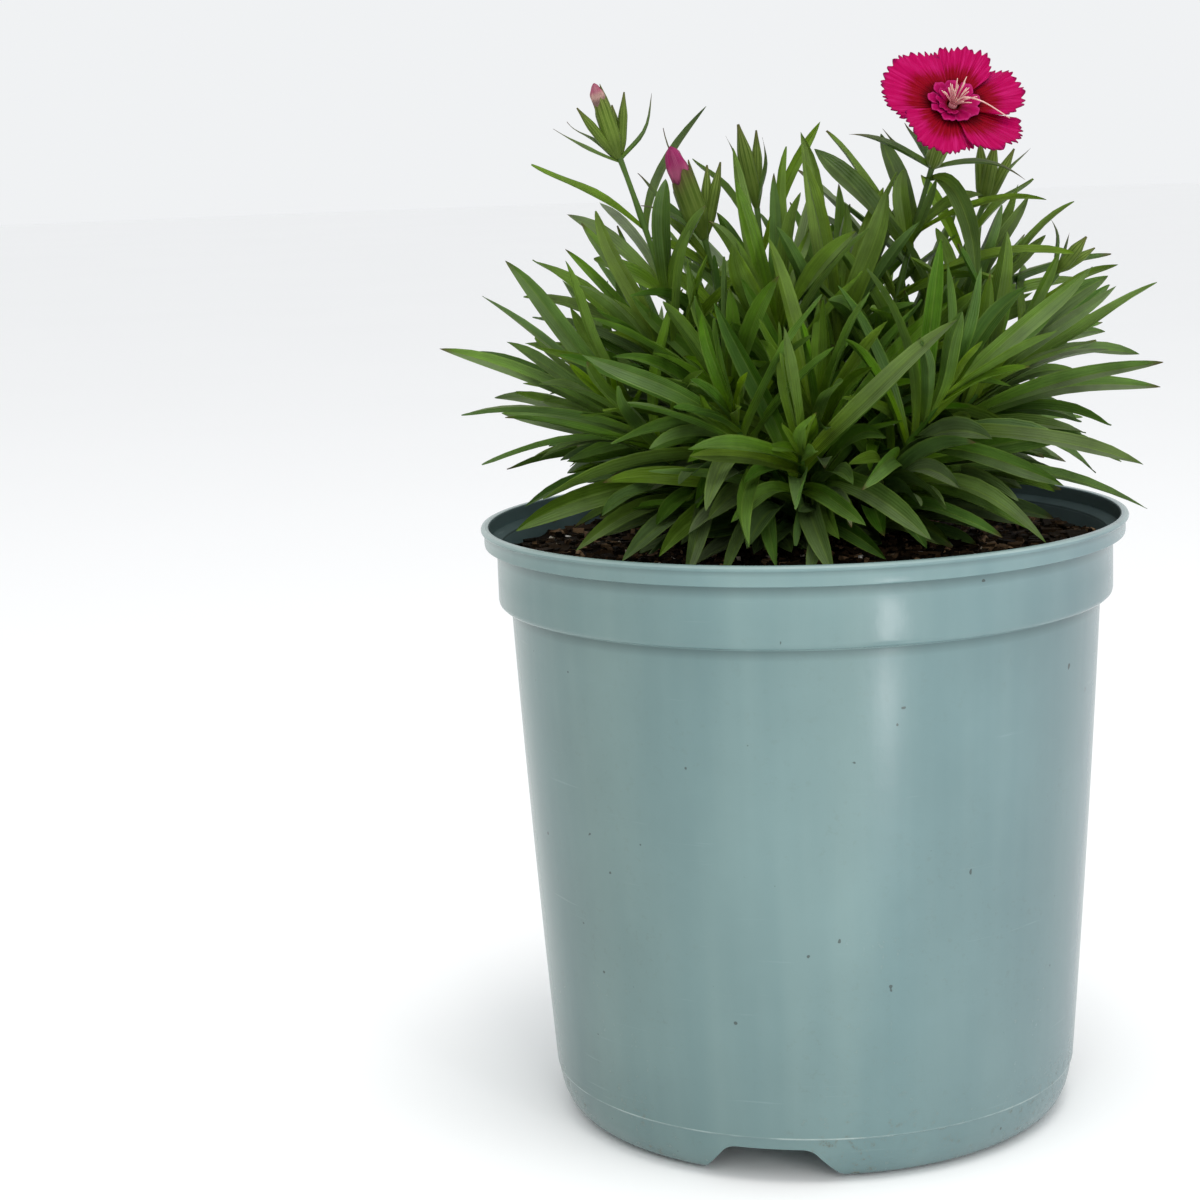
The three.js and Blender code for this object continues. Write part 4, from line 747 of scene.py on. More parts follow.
class Builder:
    """Collects vertices in millimetres with their values for the material, and faces, for one mesh."""

    def __init__(self, *values):
        self.points, self.faces, self.count = [], [], 0
        self.values = {name: [] for name in values}

    def add(self, points, faces, **values):
        """Points may be a grid, and a value one for all, one a column, or one for each point."""
        points = np.asarray(points, float)
        for name, lists in self.values.items():
            lists.append(np.broadcast_to(values.get(name, 0.0), points.shape[:-1]).ravel())
        self.points.append(points.reshape(-1, 3))
        self.faces += [[i + self.count for i in face] for face in faces]
        self.count += len(self.points[-1])

    def add_tube(self, line, radii, sides, **values):
        self.add(tube_points(line, radii, sides), loop_faces(len(line), sides), **values)

    def piece(self, name, material, sharp_angle=None):
        mesh = bpy.data.meshes.new(name)
        mesh.from_pydata((np.concatenate(self.points) * MM).tolist(), [], self.faces)
        for key, lists in self.values.items():
            layer = mesh.attributes.new(key, "FLOAT", "POINT")
            layer.data.foreach_set("value", np.concatenate(lists))
        mesh.materials.append(material)
        mesh.validate()
        mesh.shade_smooth()
        if sharp_angle:
            mesh.set_sharp_from_angle(angle=radians(sharp_angle))
        piece = bpy.data.objects.new(name, mesh)
        bpy.context.collection.objects.link(piece)
        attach(piece, "root")
        return piece


def loop_faces(rings, sides, caps=True):
    """Faces of a tube of rings of points, closed round each ring and capped at both ends."""
    faces = [[low + side, low + (side + 1) % sides, low + sides + (side + 1) % sides, low + sides + side]
             for low in range(0, (rings - 1) * sides, sides) for side in range(sides)]
    if caps:
        faces += [list(range(sides))[::-1], list(range((rings - 1) * sides, rings * sides))]
    return faces


def tube_points(line, radii, sides):
    """Rings of points round a line of points."""
    angles = circle(sides)[:, None]
    rings = []
    for i, (centre, radius) in enumerate(zip(line, radii)):
        first, second = side_axes(unit(line[min(i + 1, len(line) - 1)] - line[max(i - 1, 0)]))
        rings.append(centre + first * (radius * np.cos(angles)) + second * (radius * np.sin(angles)))
    return np.stack(rings)


def level_rings(radius, height, sides):
    """Rings of points round the pot's axis, for columns of radii and heights."""
    angles = circle(sides)
    return np.stack(np.broadcast_arrays(radius * np.cos(angles), radius * np.sin(angles), height), -1)


def column(values):
    """Rows of numbers as one column array for each place in a row."""
    return np.array(values, float).T[..., None]


# Leaf width along the leaf, and the shape of its section from the left edge over the top to the right
# edge and back underneath: (across, height), both as shares.
LEAF_WIDTHS = [(0, 0.46), (0.08, 0.55), (0.2, 0.71), (0.35, 0.83), (0.5, 0.88), (0.64, 0.86), (0.76, 0.77),
               (0.86, 0.58), (0.94, 0.32), (0.98, 0.14), (1, 0.02)]
LOW_LEAF_WIDTHS = [(0, 0.42), (0.1, 0.5), (0.22, 0.68), (0.34, 0.85), (0.46, 0.96), (0.58, 1.0), (0.7, 0.96),
                   (0.8, 0.83), (0.89, 0.6), (0.96, 0.3), (1, 0.03)]
LOW_KINDS = ("skirt", "low", "core")
BRACT_WIDTHS = [(0, 0.5), (0.2, 0.74), (0.45, 0.8), (0.75, 0.42), (1, 0.02)]
LEAF_RINGS = [0, 0.07, 0.15, 0.24, 0.34, 0.45, 0.56, 0.67, 0.77, 0.86, 0.93, 0.975, 1]
SECTION = [(-1, 0), (-0.55, -0.24), (-0.14, -0.42), (0, -0.56), (0.14, -0.42), (0.55, -0.24), (1, 0),
           (0.5, -0.56), (0, -1.0), (-0.5, -0.56)]
SECTION_UNDER = [0] * 7 + [1] * 3
LEAF_SWAY, LEAF_CURL, LEAF_ROLL, LEAF_TWIST = 4.2, 5, 0.9, 1.4
STEM_RINGS, STEM_SIDES = 19, 8
# Where the grey bloom and painted sheen begin, and over how many millimetres they grow.
BLOOM_AND_SHEEN_HEIGHT, BLOOM_AND_SHEEN_RADIUS = (238, 45), (58, 38)


def add_leaf(builder, leaf, widths, age, tint, bloom, blush=0.0):
    """A thin blade with a channel along its middle, a keel under it, and edges that wave a little."""
    wobble = seeded_random(int(leaf["width"] * 977) + int(abs(leaf["curve"][2][0]) * 131))
    phase, wave, sway = wobble() * PHASES, 0.1 + 0.3 * wobble(), (wobble() - 0.5) * LEAF_SWAY
    loose = 1.5 if leaf.get("kind") in LOW_KINDS else 1.0
    slim = 0.86 + 0.18 * wobble()
    roll, twist = (wobble() - 0.5) * LEAF_ROLL * loose, (wobble() - 0.5) * LEAF_TWIST * loose
    curl = (wobble() - 0.35) * LEAF_CURL
    places, shares = zip(*widths)
    side, heights = np.array(SECTION).T
    points = []
    for place in LEAF_RINGS:
        centre, across, face = leaf_axes(leaf, place)
        half = leaf["width"] * slim * float(np.interp(place, places, shares)) / 2
        depth = LEAF_THICKNESS * (0.75 + 0.25 * math.sin(place * 3.1)) * min(1, half / 1.2 + 0.25)
        fold = (0.66 - 0.34 * place) * half
        ripple = wave * math.sin(phase + place * 10)
        centre = centre + across * (sway * math.sin(place * 5.2 + phase) * place) - face * (curl * place ** 3)
        turn = (roll * min(1, place * 4) + twist * place) * min(1, leaf["width"] / 5)
        across, face = (across * math.cos(turn) + face * math.sin(turn),
                        face * math.cos(turn) - across * math.sin(turn))
        lift = heights * depth + fold * np.abs(side) ** 1.3 + ripple * side * min(1, place * 2)
        points.append(centre + np.outer(half * side, across) + np.outer(lift, face))
    along = np.array(LEAF_RINGS)[:, None]
    builder.add(points, loop_faces(len(LEAF_RINGS), len(SECTION)), along=along, side=side,
                under=SECTION_UNDER, blush=along ** 6 * blush, age=age, tint=tint, bloom=bloom)


# How old each kind of leaf looks; the low kinds are set older and so darker, partly as painted shade.
AGE_AND_SHADE = {"drawn": 0.42, "pair": 0.4, "skirt": 0.75, "low": 0.8, "core": 0.85, "inner": 0.35, "young": 0.08,
        "bract": 0.7}


def leaf_age_and_shade(leaf, random):
    """Old leaves sit low on the plant, young ones high up and inside; the darker colour of the low leaves is
    partly their age and partly painted shade.
    """
    height = (leaf["curve"][0][2] - SOIL_LEVEL) / (DOME_TOP - SOIL_LEVEL)
    base = AGE_AND_SHADE[leaf.get("kind", "bract")]
    slope = 0.7 if leaf.get("kind") == "drawn" else 0.3
    return min(1, max(0, base + slope * (0.5 - height) + (random() - 0.5) * 0.5))


def leaf_bloom_and_sheen(leaf, share):
    """How much grey bloom and painted sheen a leaf carries: most low down, high up and far out, least on the
    inner leaves.
    """
    x, y, z = leaf["curve"][2]
    high = min(1, max(0, (z - BLOOM_AND_SHEEN_HEIGHT[0]) / BLOOM_AND_SHEEN_HEIGHT[1]))
    out = min(1, max(0, (math.hypot(x, y) - BLOOM_AND_SHEEN_RADIUS[0]) / BLOOM_AND_SHEEN_RADIUS[1]))
    low = 1 if leaf.get("kind") in LOW_KINDS else 0
    return min(1, 0.06 + (0.3 + 0.7 * share) * max(high, out, low))


def add_stem(builder, shoot):
    """A stem with a knot at each pair of leaves. A flowering one is thinner and more olive."""
    foot = shoot["foot"].copy()
    foot[2] -= STEM_DEPTH
    places = np.linspace(0, 1, STEM_RINGS)
    flowering = "buds" in shoot
    radii = [STEM_BASE_RADIUS * 0.95]
    for t in places:
        knot = 0.22 * max(0, math.cos(t * 6 * FULL_TURN)) ** 8
        radii.append(stem_radius(t) * ((0.8 if flowering else 0.95) + knot))
    up = np.array([0, *places])[:, None]
    line = [foot] + [quadratic(shoot["curve"], t) for t in places]
    builder.add_tube(line, radii, STEM_SIDES, along=0.12 + 0.3 * up, side=0.5, age=0.35 + 0.4 * up,
                     tint=0.2, olive=0.3 if flowering else 0, bloom=0.6)


def smooth_outline(stations, places):
    """A smooth curve through a few (place, share) stations."""
    xs, ys = zip(*stations)
    fine = np.linspace(xs[0], xs[-1], 400)
    level = np.interp(fine, xs, ys)
    kernel = np.hanning(61)
    padded = np.concatenate([np.full(30, level[0]), level, np.full(30, level[-1])])
    return np.interp(places, fine, np.convolve(padded, kernel / kernel.sum(), "valid"))


def add_bud(builder, bud):
    """A green bud: a ribbed tube that ends in a point, or in a slanted mouth with five teeth."""
    foot, tip, radius = vec(*bud[:3]), vec(*bud[3:6]), bud[6]
    opening = bud[7] if len(bud) > 7 else None
    radius *= 1 if opening else CLOSED_BUD_SHARE
    end = opening + BUD_REACH if opening else 1.0
    places = np.linspace(0, end, 15)
    radii = radius * smooth_outline(BUD_STATIONS, places)
    first, second = side_axes(unit(tip - foot))
    angles = circle(BUD_SIDES)
    low_side = np.cos(angles - math.atan2(-second[0], -first[0]))
    teeth = BUD_TEETH * (np.cos(angles * 5) * 0.5 + 0.5)
    mouth = teeth - BUD_SLANT * low_side if opening else np.zeros(BUD_SIDES)
    rows = [(place, size, (place / end) ** 4) for place, size in zip(places, radii)]
    if opening:
        rows += [(end, radii[-1] * 0.92, 1), (end - 0.12, radii[-1] * 0.88, 0.6)]
    place, size, share = column(rows)
    rib = size * (1 + 0.035 * np.cos(angles * 10))
    points = foot + (place + mouth * share)[..., None] * (tip - foot)
    points += (rib * np.cos(angles))[..., None] * first + (rib * np.sin(angles))[..., None] * second
    builder.add(points, loop_faces(len(rows), BUD_SIDES), along=0.2 + 0.35 * place,
                side=0.35 + 0.12 * np.cos(angles * 10), age=0.3, tint=0.35, olive=0.9,
                blush=np.maximum(0, (place / end - 0.74) / 0.26) ** 1.6 * 0.6)


# The open flower's green tube: (depth in the flower, radius), without its teeth.
TUBE_OUTLINE = [(-27.5, 1.2), (-26.2, 2.3), (-23, 2.9), (-16, 3.45), (-9, 3.6), (-3.4, 3.4)]
TUBE_TEETH = 2.2
TUBE_WALL = 0.35
TUBE_SIDES = 40


def add_calyx(builder):
    """The open flower's tube: narrow and round at its foot, ribbed, with five pointed teeth at its mouth."""
    places = np.linspace(TUBE_OUTLINE[0][0], TUBE_OUTLINE[-1][0], 20)
    angles = circle(TUBE_SIDES)
    teeth = TUBE_TEETH * (np.abs(np.cos(angles * 2.5)) ** 1.6)
    rows = list(zip(places, smooth_outline(TUBE_OUTLINE, places), np.linspace(0, 1, 20) ** 5))
    rows += [(places[-1], rows[-1][1] - TUBE_WALL, 1), (places[-1] - 4, 3.0, 0)]
    depth, radius, share = column(rows)
    rib = radius * (1 + 0.03 * np.cos(angles * 10) + 0.012 * np.cos(angles * 20))
    points = in_flower(rib * np.cos(angles), rib * np.sin(angles), depth + teeth * share)
    builder.add(points, loop_faces(len(rows), TUBE_SIDES), olive=0.75, bloom=0.3, age=0.4, tint=0.3,
                along=0.18 + 0.35 * (depth - places[0]) / (places[-1] - places[0]),
                side=0.35 + 0.12 * np.cos(angles * 10) + 0.05 * np.cos(angles * 20),
                blush=0.3 * share * teeth / TUBE_TEETH)


# Leaves drawn in gaps that show, by shoot: (place on the stem, knee x, y, z, tip x, y, z, width, age).
LONG_BLADES = {
    "stem_bud_left": [(0.79, -47, 14, 290, -27.5, 9, 313, 3.4, 0.8)],
    "stem_open_flower": [
        (0.74, 20.4, -4, 286, 6.4, -8, 299.4, 9, 0.75), (0.83, 30.4, 14, 287.8, 27.9, 16, 302.8, 7, 0.9),
        (0.76, 31.7, 4, 280.9, 33.7, 3, 291.5, 6.4, 0.1), (0.76, 39.6, 4, 278.3, 43.6, 2, 288.7, 3.6, 0.5),
        (0.96, 54, 4, 291.3, 52.7, -14, 254.9, 6.6, 0.95),
    ],
    "shoot_front_mid": [
        (0.3, 0.6, -64, 204.5, 7.9, -85, 181, 8.5, 0.6), (0.36, 11.2, -60, 202.3, 2.6, -83, 181, 7, 0.7),
    ],
    "shoot_left_front": [(0.35, -26.6, -58, 203, -33, -80, 181, 7, 0.9)],
    "shoot_left_mid": [(0.2, -14.3, -50, 199.2, -22.7, -80, 181, 6, 0.7)],
}
LONG_BLADE_FACING = (0, -0.6, 0.8)


def long_blade(shoot, row):
    place, knee, tip, width = row[0], vec(*row[1:4]), vec(*row[4:7]), row[7]
    root = quadratic(shoot["curve"], place)
    return leaf_between(root, knee, tip, unit(cross(tip - root, vec(*LONG_BLADE_FACING))), width)


def add_foliage(shoot, material):
    builder = Builder("along", "side", "under", "blush", "age", "tint", "olive", "bloom")
    add_stem(builder, shoot)
    random = seeded_random(LOOK_SEED + len(shoot["blades"]) + int(abs(shoot["top"][0]) * 10))
    for leaf in shoot["blades"]:
        widths = LOW_LEAF_WIDTHS if leaf["kind"] in LOW_KINDS else LEAF_WIDTHS
        add_leaf(builder, leaf, widths, leaf_age_and_shade(leaf, random), random() * 2 - 1, leaf_bloom_and_sheen(leaf, random()))
    for row in LONG_BLADES.get(shoot["name"], []):
        leaf = long_blade(shoot, row)
        add_leaf(builder, leaf, LEAF_WIDTHS, row[8], -0.4, leaf_bloom_and_sheen(leaf, 0.7))
    for row in shoot.get("bracts", []):
        leaf = bract_leaf(row)
        add_leaf(builder, leaf, BRACT_WIDTHS, leaf_age_and_shade(leaf, random), random() * 2 - 1, 0.8, 1.0)
    for bud in shoot.get("buds", []):
        add_bud(builder, bud)
    if shoot.get("open"):
        add_calyx(builder)
    piece = builder.piece(shoot["name"] + "_fine", material, LEAF_SHARP_ANGLE)
    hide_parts(shoot["name"])


# ---------------------------------------------------------------- petals

TOOTH_ANGLE = 5.4
PETAL_FOOT, PETAL_ROWS, PETAL_THICKNESS, PETAL_SEED = 3.2, 22, 0.45, 310
# The ruff: (pieces, first angle, half angle, reach, rise, what every other piece rises more, first seed).
RUFF = [(9, 12, 23, 8.2, 1.3, 0.5, 400), (5, 100, 24, 5.8, 1.9, 0, 420)]
RUFF_STEP = 40
RUFF_FOOT, RUFF_ROWS, RUFF_THICKNESS, RUFF_CURL = 2.3, 10, 0.3, 0.4
# The throat's section: (radius, depth).
THROAT = [(2.9, -7), (2.9, -1.2), (5.2, -1.0), (5.2, 0.4), (3.4, 0.7), (2.0, 0.6), (1.9, -6.8)]
THROAT_SIDES = 16
STAMENS, STAMEN_SEED = 26, 77
STAMEN_RADII = [0.2, 0.17, 0.14, 0.13, 0.13, 0.2, 0.1]
# One row a petal: angle of its middle, half its width in degrees, reach, and for its two sides how far the
# corner falls back and how late.
PETALS = [(19, 37, 1.0, (0.28, 2.3), (0.16, 2.3)), (80, 37, 0.98, (0.27, 2.3), (0.27, 2.3)),
          (155, 52, 1.02, (0.27, 1.35), (0.2, 2.3)), (247, 44, 0.96, (0.22, 2.3), (0.22, 2.3)),
          (315, 34, 1.05, (0.28, 1.8), (0.14, 2.3))]


def petal_edge(turn, petal, starts, depths):
    """Distance from the throat to a petal's toothed edge across the petal, and the same without teeth."""
    before, after = (fall * np.abs(turn) ** power for fall, power in petal[3:])
    smooth = PETAL_RADIUS * petal[2] * (1 - np.where(turn < 0, before, after))
    tooth = np.interp(turn, starts, np.arange(len(starts)))
    notch = (1 - np.abs(tooth - np.round(tooth)) * 2) ** 1.25
    return smooth - np.interp(tooth, np.arange(len(starts)), depths) * notch, smooth


def sheet_faces(rows, columns):
    """Faces of a thin closed sheet: a grid of top points, then the same grid underneath."""
    count = rows * columns
    grid = np.arange(count).reshape(rows, columns)
    low, high = grid[:-1], grid[1:]
    quads = np.stack([low[:, :-1], low[:, 1:], high[:, 1:], high[:, :-1]], -1).reshape(-1, 4)
    border = grid[0].tolist() + grid[1:, -1].tolist() + grid[-1, -2::-1].tolist() + grid[-2:0:-1, 0].tolist()
    edges = [[b, a, a + count, b + count] for a, b in zip(border, border[1:] + border[:1])]
    return quads.tolist() + (quads[:, ::-1] + count).tolist() + edges


def add_sheet(builder, top, thickness, radius, turn):
    """A thin closed sheet of the flower, from a grid of the points on its top."""
    under = top - FLOWER_AXES[3] * thickness
    builder.add([top, under], sheet_faces(*top.shape[:2]), radius=radius, turn=turn)


def add_petal(builder, petal, seed):
    """A petal with uneven teeth, a ruffled edge and fine creases."""
    random = seeded_random(seed)
    teeth = round(2 * petal[1] / TOOTH_ANGLE)
    turn = np.linspace(-1, 1, teeth * 6 + 1)
    starts = np.cumsum([0] + [0.6 + 0.8 * random() for _ in range(teeth)])
    starts = starts / starts[-1] * 2 - 1
    edge, smooth = petal_edge(turn, petal, starts, [1.0 + 1.1 * random() for _ in range(teeth + 1)])
    phases = [random() * PHASES for _ in range(4)]
    share = np.arange(PETAL_ROWS)[:, None] / (PETAL_ROWS - 1)
    radius = PETAL_FOOT + (smooth - PETAL_FOOT) * share + (edge - smooth) * np.clip((share - 0.8) / 0.2, 0, 1)
    place = np.radians(petal[0] + petal[1] * (0.8 + 0.2 * np.minimum(1, share * 4)) * turn)
    ruffle = share ** 2.2 * (1.0 * np.sin(turn * 5 + phases[0]) + 0.6 * np.sin(turn * 11 + phases[1]))
    ruffle += share ** 4 * 0.35 * np.sin(turn * 23 + phases[2])
    crease = 0.14 * np.sin(turn * 34 + phases[3]) * np.sin(math.pi * np.minimum(1, share * 1.2))
    height = petal_height(radius, turn) + (ruffle + crease) * (1 - 0.5 * turn * turn)
    top = in_flower(radius * np.cos(place), radius * np.sin(place), height)
    add_sheet(builder, top, PETAL_THICKNESS, radius / smooth, turn + petal[0])


def add_ruff_piece(builder, angle, half_angle, reach, rise, seed):
    """One of the small petal-like pieces round the stamens: it stands up and curls, with a scalloped edge."""
    turn = np.linspace(-1, 1, 19)
    scallop = 0.16 * np.abs(np.sin(turn * 2.5 + seeded_random(seed)()))
    share = np.arange(RUFF_ROWS)[:, None] / (RUFF_ROWS - 1)
    radius = RUFF_FOOT + (reach * (1 - 0.14 * turn ** 2) - scallop * share ** 3 - RUFF_FOOT) * share
    place = np.radians(angle + half_angle * turn * (1 - 0.15 * share))
    height = 0.6 + rise * share * (1 + 0.2 * turn) + RUFF_CURL * share ** 3 * (0.6 - turn ** 2)
    height = height + 0.3 * share * np.sin(turn * 6 + angle)
    top = in_flower(radius * np.cos(place), radius * np.sin(place), height)
    depth = np.maximum(0.2 + 0.8 * share, 0.2 + 0.75 * np.abs(turn) * np.minimum(1, share * 3))
    add_sheet(builder, top, RUFF_THICKNESS, depth, turn)


def make_flower(petal_material, ruff_material):
    petals = Builder("radius", "turn")
    for i, petal in enumerate(PETALS):
        add_petal(petals, petal, PETAL_SEED + i)
    angles = circle(THROAT_SIDES)
    radius, depth = column(THROAT)
    last = (len(THROAT) - 1) * THROAT_SIDES
    closing = [[(side + 1) % THROAT_SIDES, side, last + side, last + (side + 1) % THROAT_SIDES]
               for side in range(THROAT_SIDES)]
    petals.add(in_flower(radius * np.cos(angles), radius * np.sin(angles), depth),
               loop_faces(len(THROAT), THROAT_SIDES, caps=False) + closing, radius=0.2)
    flower = petals.piece("flower_petals_fine", petal_material, PETAL_SHARP_ANGLE)
    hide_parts("flower_petals")
    ruff = Builder("radius", "turn")
    for count, first, half_angle, reach, rise, more, seed in RUFF:
        for i in range(count):
            add_ruff_piece(ruff, first + RUFF_STEP * i, half_angle, reach, rise + more * (i % 2), seed + i)
    piece = ruff.piece("flower_ruff", ruff_material, PETAL_SHARP_ANGLE)


def make_stamens(material):
    """A brush of stamens on a plug in the throat, and the long style."""
    builder = Builder("radius")
    builder.add_tube(in_flower([0, 0, 0], [0, 0, 0], [-6.6, -2, 1.2]), [1.4, 1.4, 1.2], 12, radius=0.2)
    random = seeded_random(STAMEN_SEED)
    share = np.arange(len(STAMEN_RADII)) / (len(STAMEN_RADII) - 1)
    for i in range(STAMENS):
        turn = i / STAMENS * FULL_TURN + random() * 0.3
        lean, length = 0.1 + 0.62 * random(), 5.4 + 3.8 * random()
        out = 0.7 + length * share * math.sin(lean) * (0.6 + 0.4 * share)
        line = in_flower(out * math.cos(turn), out * math.sin(turn), 0.6 + length * share * math.cos(lean))
        builder.add_tube(line, STAMEN_RADII, 6, radius=share[:, None])
    corners = range(len(LONG_STYLE))
    places = np.arange(5 * corners[-1] + 1) / 5
    line = np.stack([np.interp(places, corners, values) for values in zip(*LONG_STYLE)], 1)
    for _ in range(3):
        line[1:-1] = (line[:-2] + line[1:-1] * 2 + line[2:]) / 4
    builder.add_tube(in_flower(*line.T), np.linspace(0.36, 0.18, len(line)), 6, radius=0.8)
    piece = builder.piece("flower_stamens_fine", material)
    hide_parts("flower_stamens")


def make_bud_petals(bud, material):
    """The furled petals that come out of an opening bud: a spindle with spiral folds."""
    foot, tip, radius = vec(*bud[:3]), vec(*bud[3:6]), bud[6]
    opening, name = bud[7:]
    low = opening - BUD_SOCKET_DEPTH + 0.02
    stations = [(low, 0.96), (opening, 0.97), ((opening + 1) / 2, 0.97), (0.92, 0.68), (0.98, 0.34), (1, 0.1)]
    first, second = side_axes(unit(tip - foot))
    angles = circle(BUD_SIDES - 2)
    place = np.linspace(low, 1, 16)[:, None]
    rise = np.clip((place - opening) / (1 - opening), 0, 1)
    size = BUD_SOCKET * radius * np.interp(place, *zip(*stations))
    size = size * (1 + 0.18 * rise * np.cos(angles * 3 + place * 11))
    points = foot + (tip - foot) * place[..., None] + (size * np.cos(angles))[..., None] * first
    points += (size * np.sin(angles))[..., None] * second
    builder = Builder("radius", "turn")
    builder.add(points, loop_faces(*size.shape), radius=0.3 + 0.7 * rise, turn=np.cos(angles * 4))
    piece = builder.piece(name + "_fine", material, PETAL_SHARP_ANGLE)
    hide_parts(name)


# ---------------------------------------------------------------- pot and soil meshes


def body_radius(height):
    share = (height - SEAM_HEIGHT) / (COLLAR_BOTTOM - SEAM_HEIGHT)
    return SEAM_RADIUS + (BODY_TOP_RADIUS - SEAM_RADIUS) * share + BODY_BOW * 4 * share * (1 - share)


def pot_profile():
    """Half of the pot's section, with its edges rounded."""
    plate_top, plate_bottom = SEAM_HEIGHT + 0.2, SEAM_HEIGHT - 1.4
    outside = [(0, plate_bottom), (40, plate_bottom), (SEAM_RADIUS - 3.2, plate_bottom),
               (SEAM_RADIUS - 3.6, plate_bottom - 0.6), (FOOT_RADIUS - 2, 0.3), (FOOT_RADIUS - 1.7, 0),
               (FOOT_RADIUS + 0.1, 0), (FOOT_RADIUS + 1.7, 0.35), (FOOT_RADIUS + 3.2, 1.1),
               (FOOT_RADIUS + 4.6, 2.2), (FOOT_RADIUS + 5.8, 3.8), (SEAM_RADIUS - 1.75, 6.8),
               (SEAM_RADIUS - 0.9, 10.4), (SEAM_RADIUS - 0.45, SEAM_HEIGHT - 1.1),
               (SEAM_RADIUS - 0.3, SEAM_HEIGHT - 0.4), (SEAM_RADIUS, SEAM_HEIGHT - 0.15),
               (SEAM_RADIUS + 0.05, SEAM_HEIGHT + 0.3)]
    outside += [(body_radius(z), z) for z in np.linspace(SEAM_HEIGHT + 3, COLLAR_BOTTOM - 1, 12)]
    rim = [(BODY_TOP_RADIUS + 0.1, COLLAR_BOTTOM - 0.2), (BODY_TOP_RADIUS + 1, COLLAR_BOTTOM + 0.1),
           (COLLAR_RADIUS - 0.9, COLLAR_BOTTOM + 0.6), (COLLAR_RADIUS - 0.2, COLLAR_BOTTOM + 1.3),
           (COLLAR_RADIUS, COLLAR_BOTTOM + 2.2), (COLLAR_RADIUS, 171), (COLLAR_RADIUS, BAND_BOTTOM - 1),
           (COLLAR_RADIUS + 0.3, BAND_BOTTOM - 0.35), (BAND_RADIUS - 0.7, BAND_BOTTOM),
           (BAND_RADIUS - 0.15, BAND_BOTTOM + 0.3), (BAND_RADIUS, BAND_BOTTOM + 0.9),
           (BAND_RADIUS, POT_HEIGHT - 2.1), (BAND_RADIUS + 0.35, POT_HEIGHT - 1.6),
           (LIP_RADIUS - 0.1, POT_HEIGHT - 1.3), (LIP_RADIUS, POT_HEIGHT - 0.8),
           (LIP_RADIUS - 0.3, POT_HEIGHT - 0.2), (LIP_RADIUS - 0.9, POT_HEIGHT),
           (BAND_RADIUS - WALL + 0.5, POT_HEIGHT - 0.05), (BAND_RADIUS - WALL, POT_HEIGHT - 0.5),
           (BAND_RADIUS - WALL - 0.1, BAND_BOTTOM + 1.8), (COLLAR_RADIUS - WALL + 0.4, BAND_BOTTOM + 0.5),
           (COLLAR_RADIUS - WALL, BAND_BOTTOM - 0.3), (COLLAR_RADIUS - WALL, COLLAR_BOTTOM + 2),
           (BODY_TOP_RADIUS - WALL, COLLAR_BOTTOM - 1.2), (SEAM_RADIUS - WALL, plate_top), (0, plate_top)]
    return outside + rim


def notch_cutter(azimuth):
    """A rounded trapezium, run through the foot ring."""
    corner = np.array([NOTCH_TOP_HALF, NOTCH_TOP])
    slope = corner - (NOTCH_FOOT_HALF, 0)
    bend = corner - slope / math.hypot(*slope) * NOTCH_CORNER, corner, corner - (NOTCH_CORNER, 0)
    half = [(NOTCH_FOOT_HALF + 2.6, -1), (NOTCH_FOOT_HALF + 1.3, 0.35), (NOTCH_FOOT_HALF - 0.6, 2.0)]
    half += [quadratic(bend, i / 6) for i in range(7)]
    outline = half + [(-x, y) for x, y in half[::-1]]
    points = [[(FOOT_RADIUS + depth, x, y) for x, y in outline] for depth in NOTCH_CUT]
    turn = np.array(Matrix.Rotation(radians(azimuth), 3, "Z"))
    return np.array(points) @ turn.T, loop_faces(2, len(outline))


def plain_object(name, points, faces):
    mesh = bpy.data.meshes.new(name)
    mesh.from_pydata((np.reshape(points, (-1, 3)) * MM).tolist(), [], faces)
    made = bpy.data.objects.new(name, mesh)
    bpy.context.collection.objects.link(made)
    return made


def make_pot(material):
    """The revolved pot, with its notches and drain holes cut out."""
    profile = pot_profile()[1:-1]
    builder = Builder()
    builder.add(level_rings(*column(profile), POT_SIDES), loop_faces(len(profile), POT_SIDES))
    pot = builder.piece("pot_fine", material)
    cutters = [plain_object("notch", *notch_cutter(NOTCH_AZIMUTH + 360 / NOTCHES * i))
               for i in range(NOTCHES)]
    for i in range(DRAIN_HOLES):
        turn = radians(360 / DRAIN_HOLES * i)
        centre = vec(DRAIN_RING_RADIUS * math.cos(turn), DRAIN_RING_RADIUS * math.sin(turn), 0)
        line = [centre + vec(0, 0, height) for height in DRAIN_CUT]
        cutters.append(plain_object("drain", tube_points(line, [DRAIN_RADIUS] * 2, 24), loop_faces(2, 24)))
    for cutter in cutters:
        change = pot.modifiers.new("cut", "BOOLEAN")
        change.operation, change.solver, change.object = "DIFFERENCE", "EXACT", cutter
    bpy.context.view_layer.update()
    graph = bpy.context.evaluated_depsgraph_get()
    mesh = bpy.data.meshes.new_from_object(pot.evaluated_get(graph))
    pot.modifiers.clear()
    pot.data = mesh
    for cutter in cutters:
        bpy.data.objects.remove(cutter)
    mesh.shade_smooth()
    mesh.set_sharp_from_angle(angle=radians(POT_SHARP_ANGLE))
    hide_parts("pot")


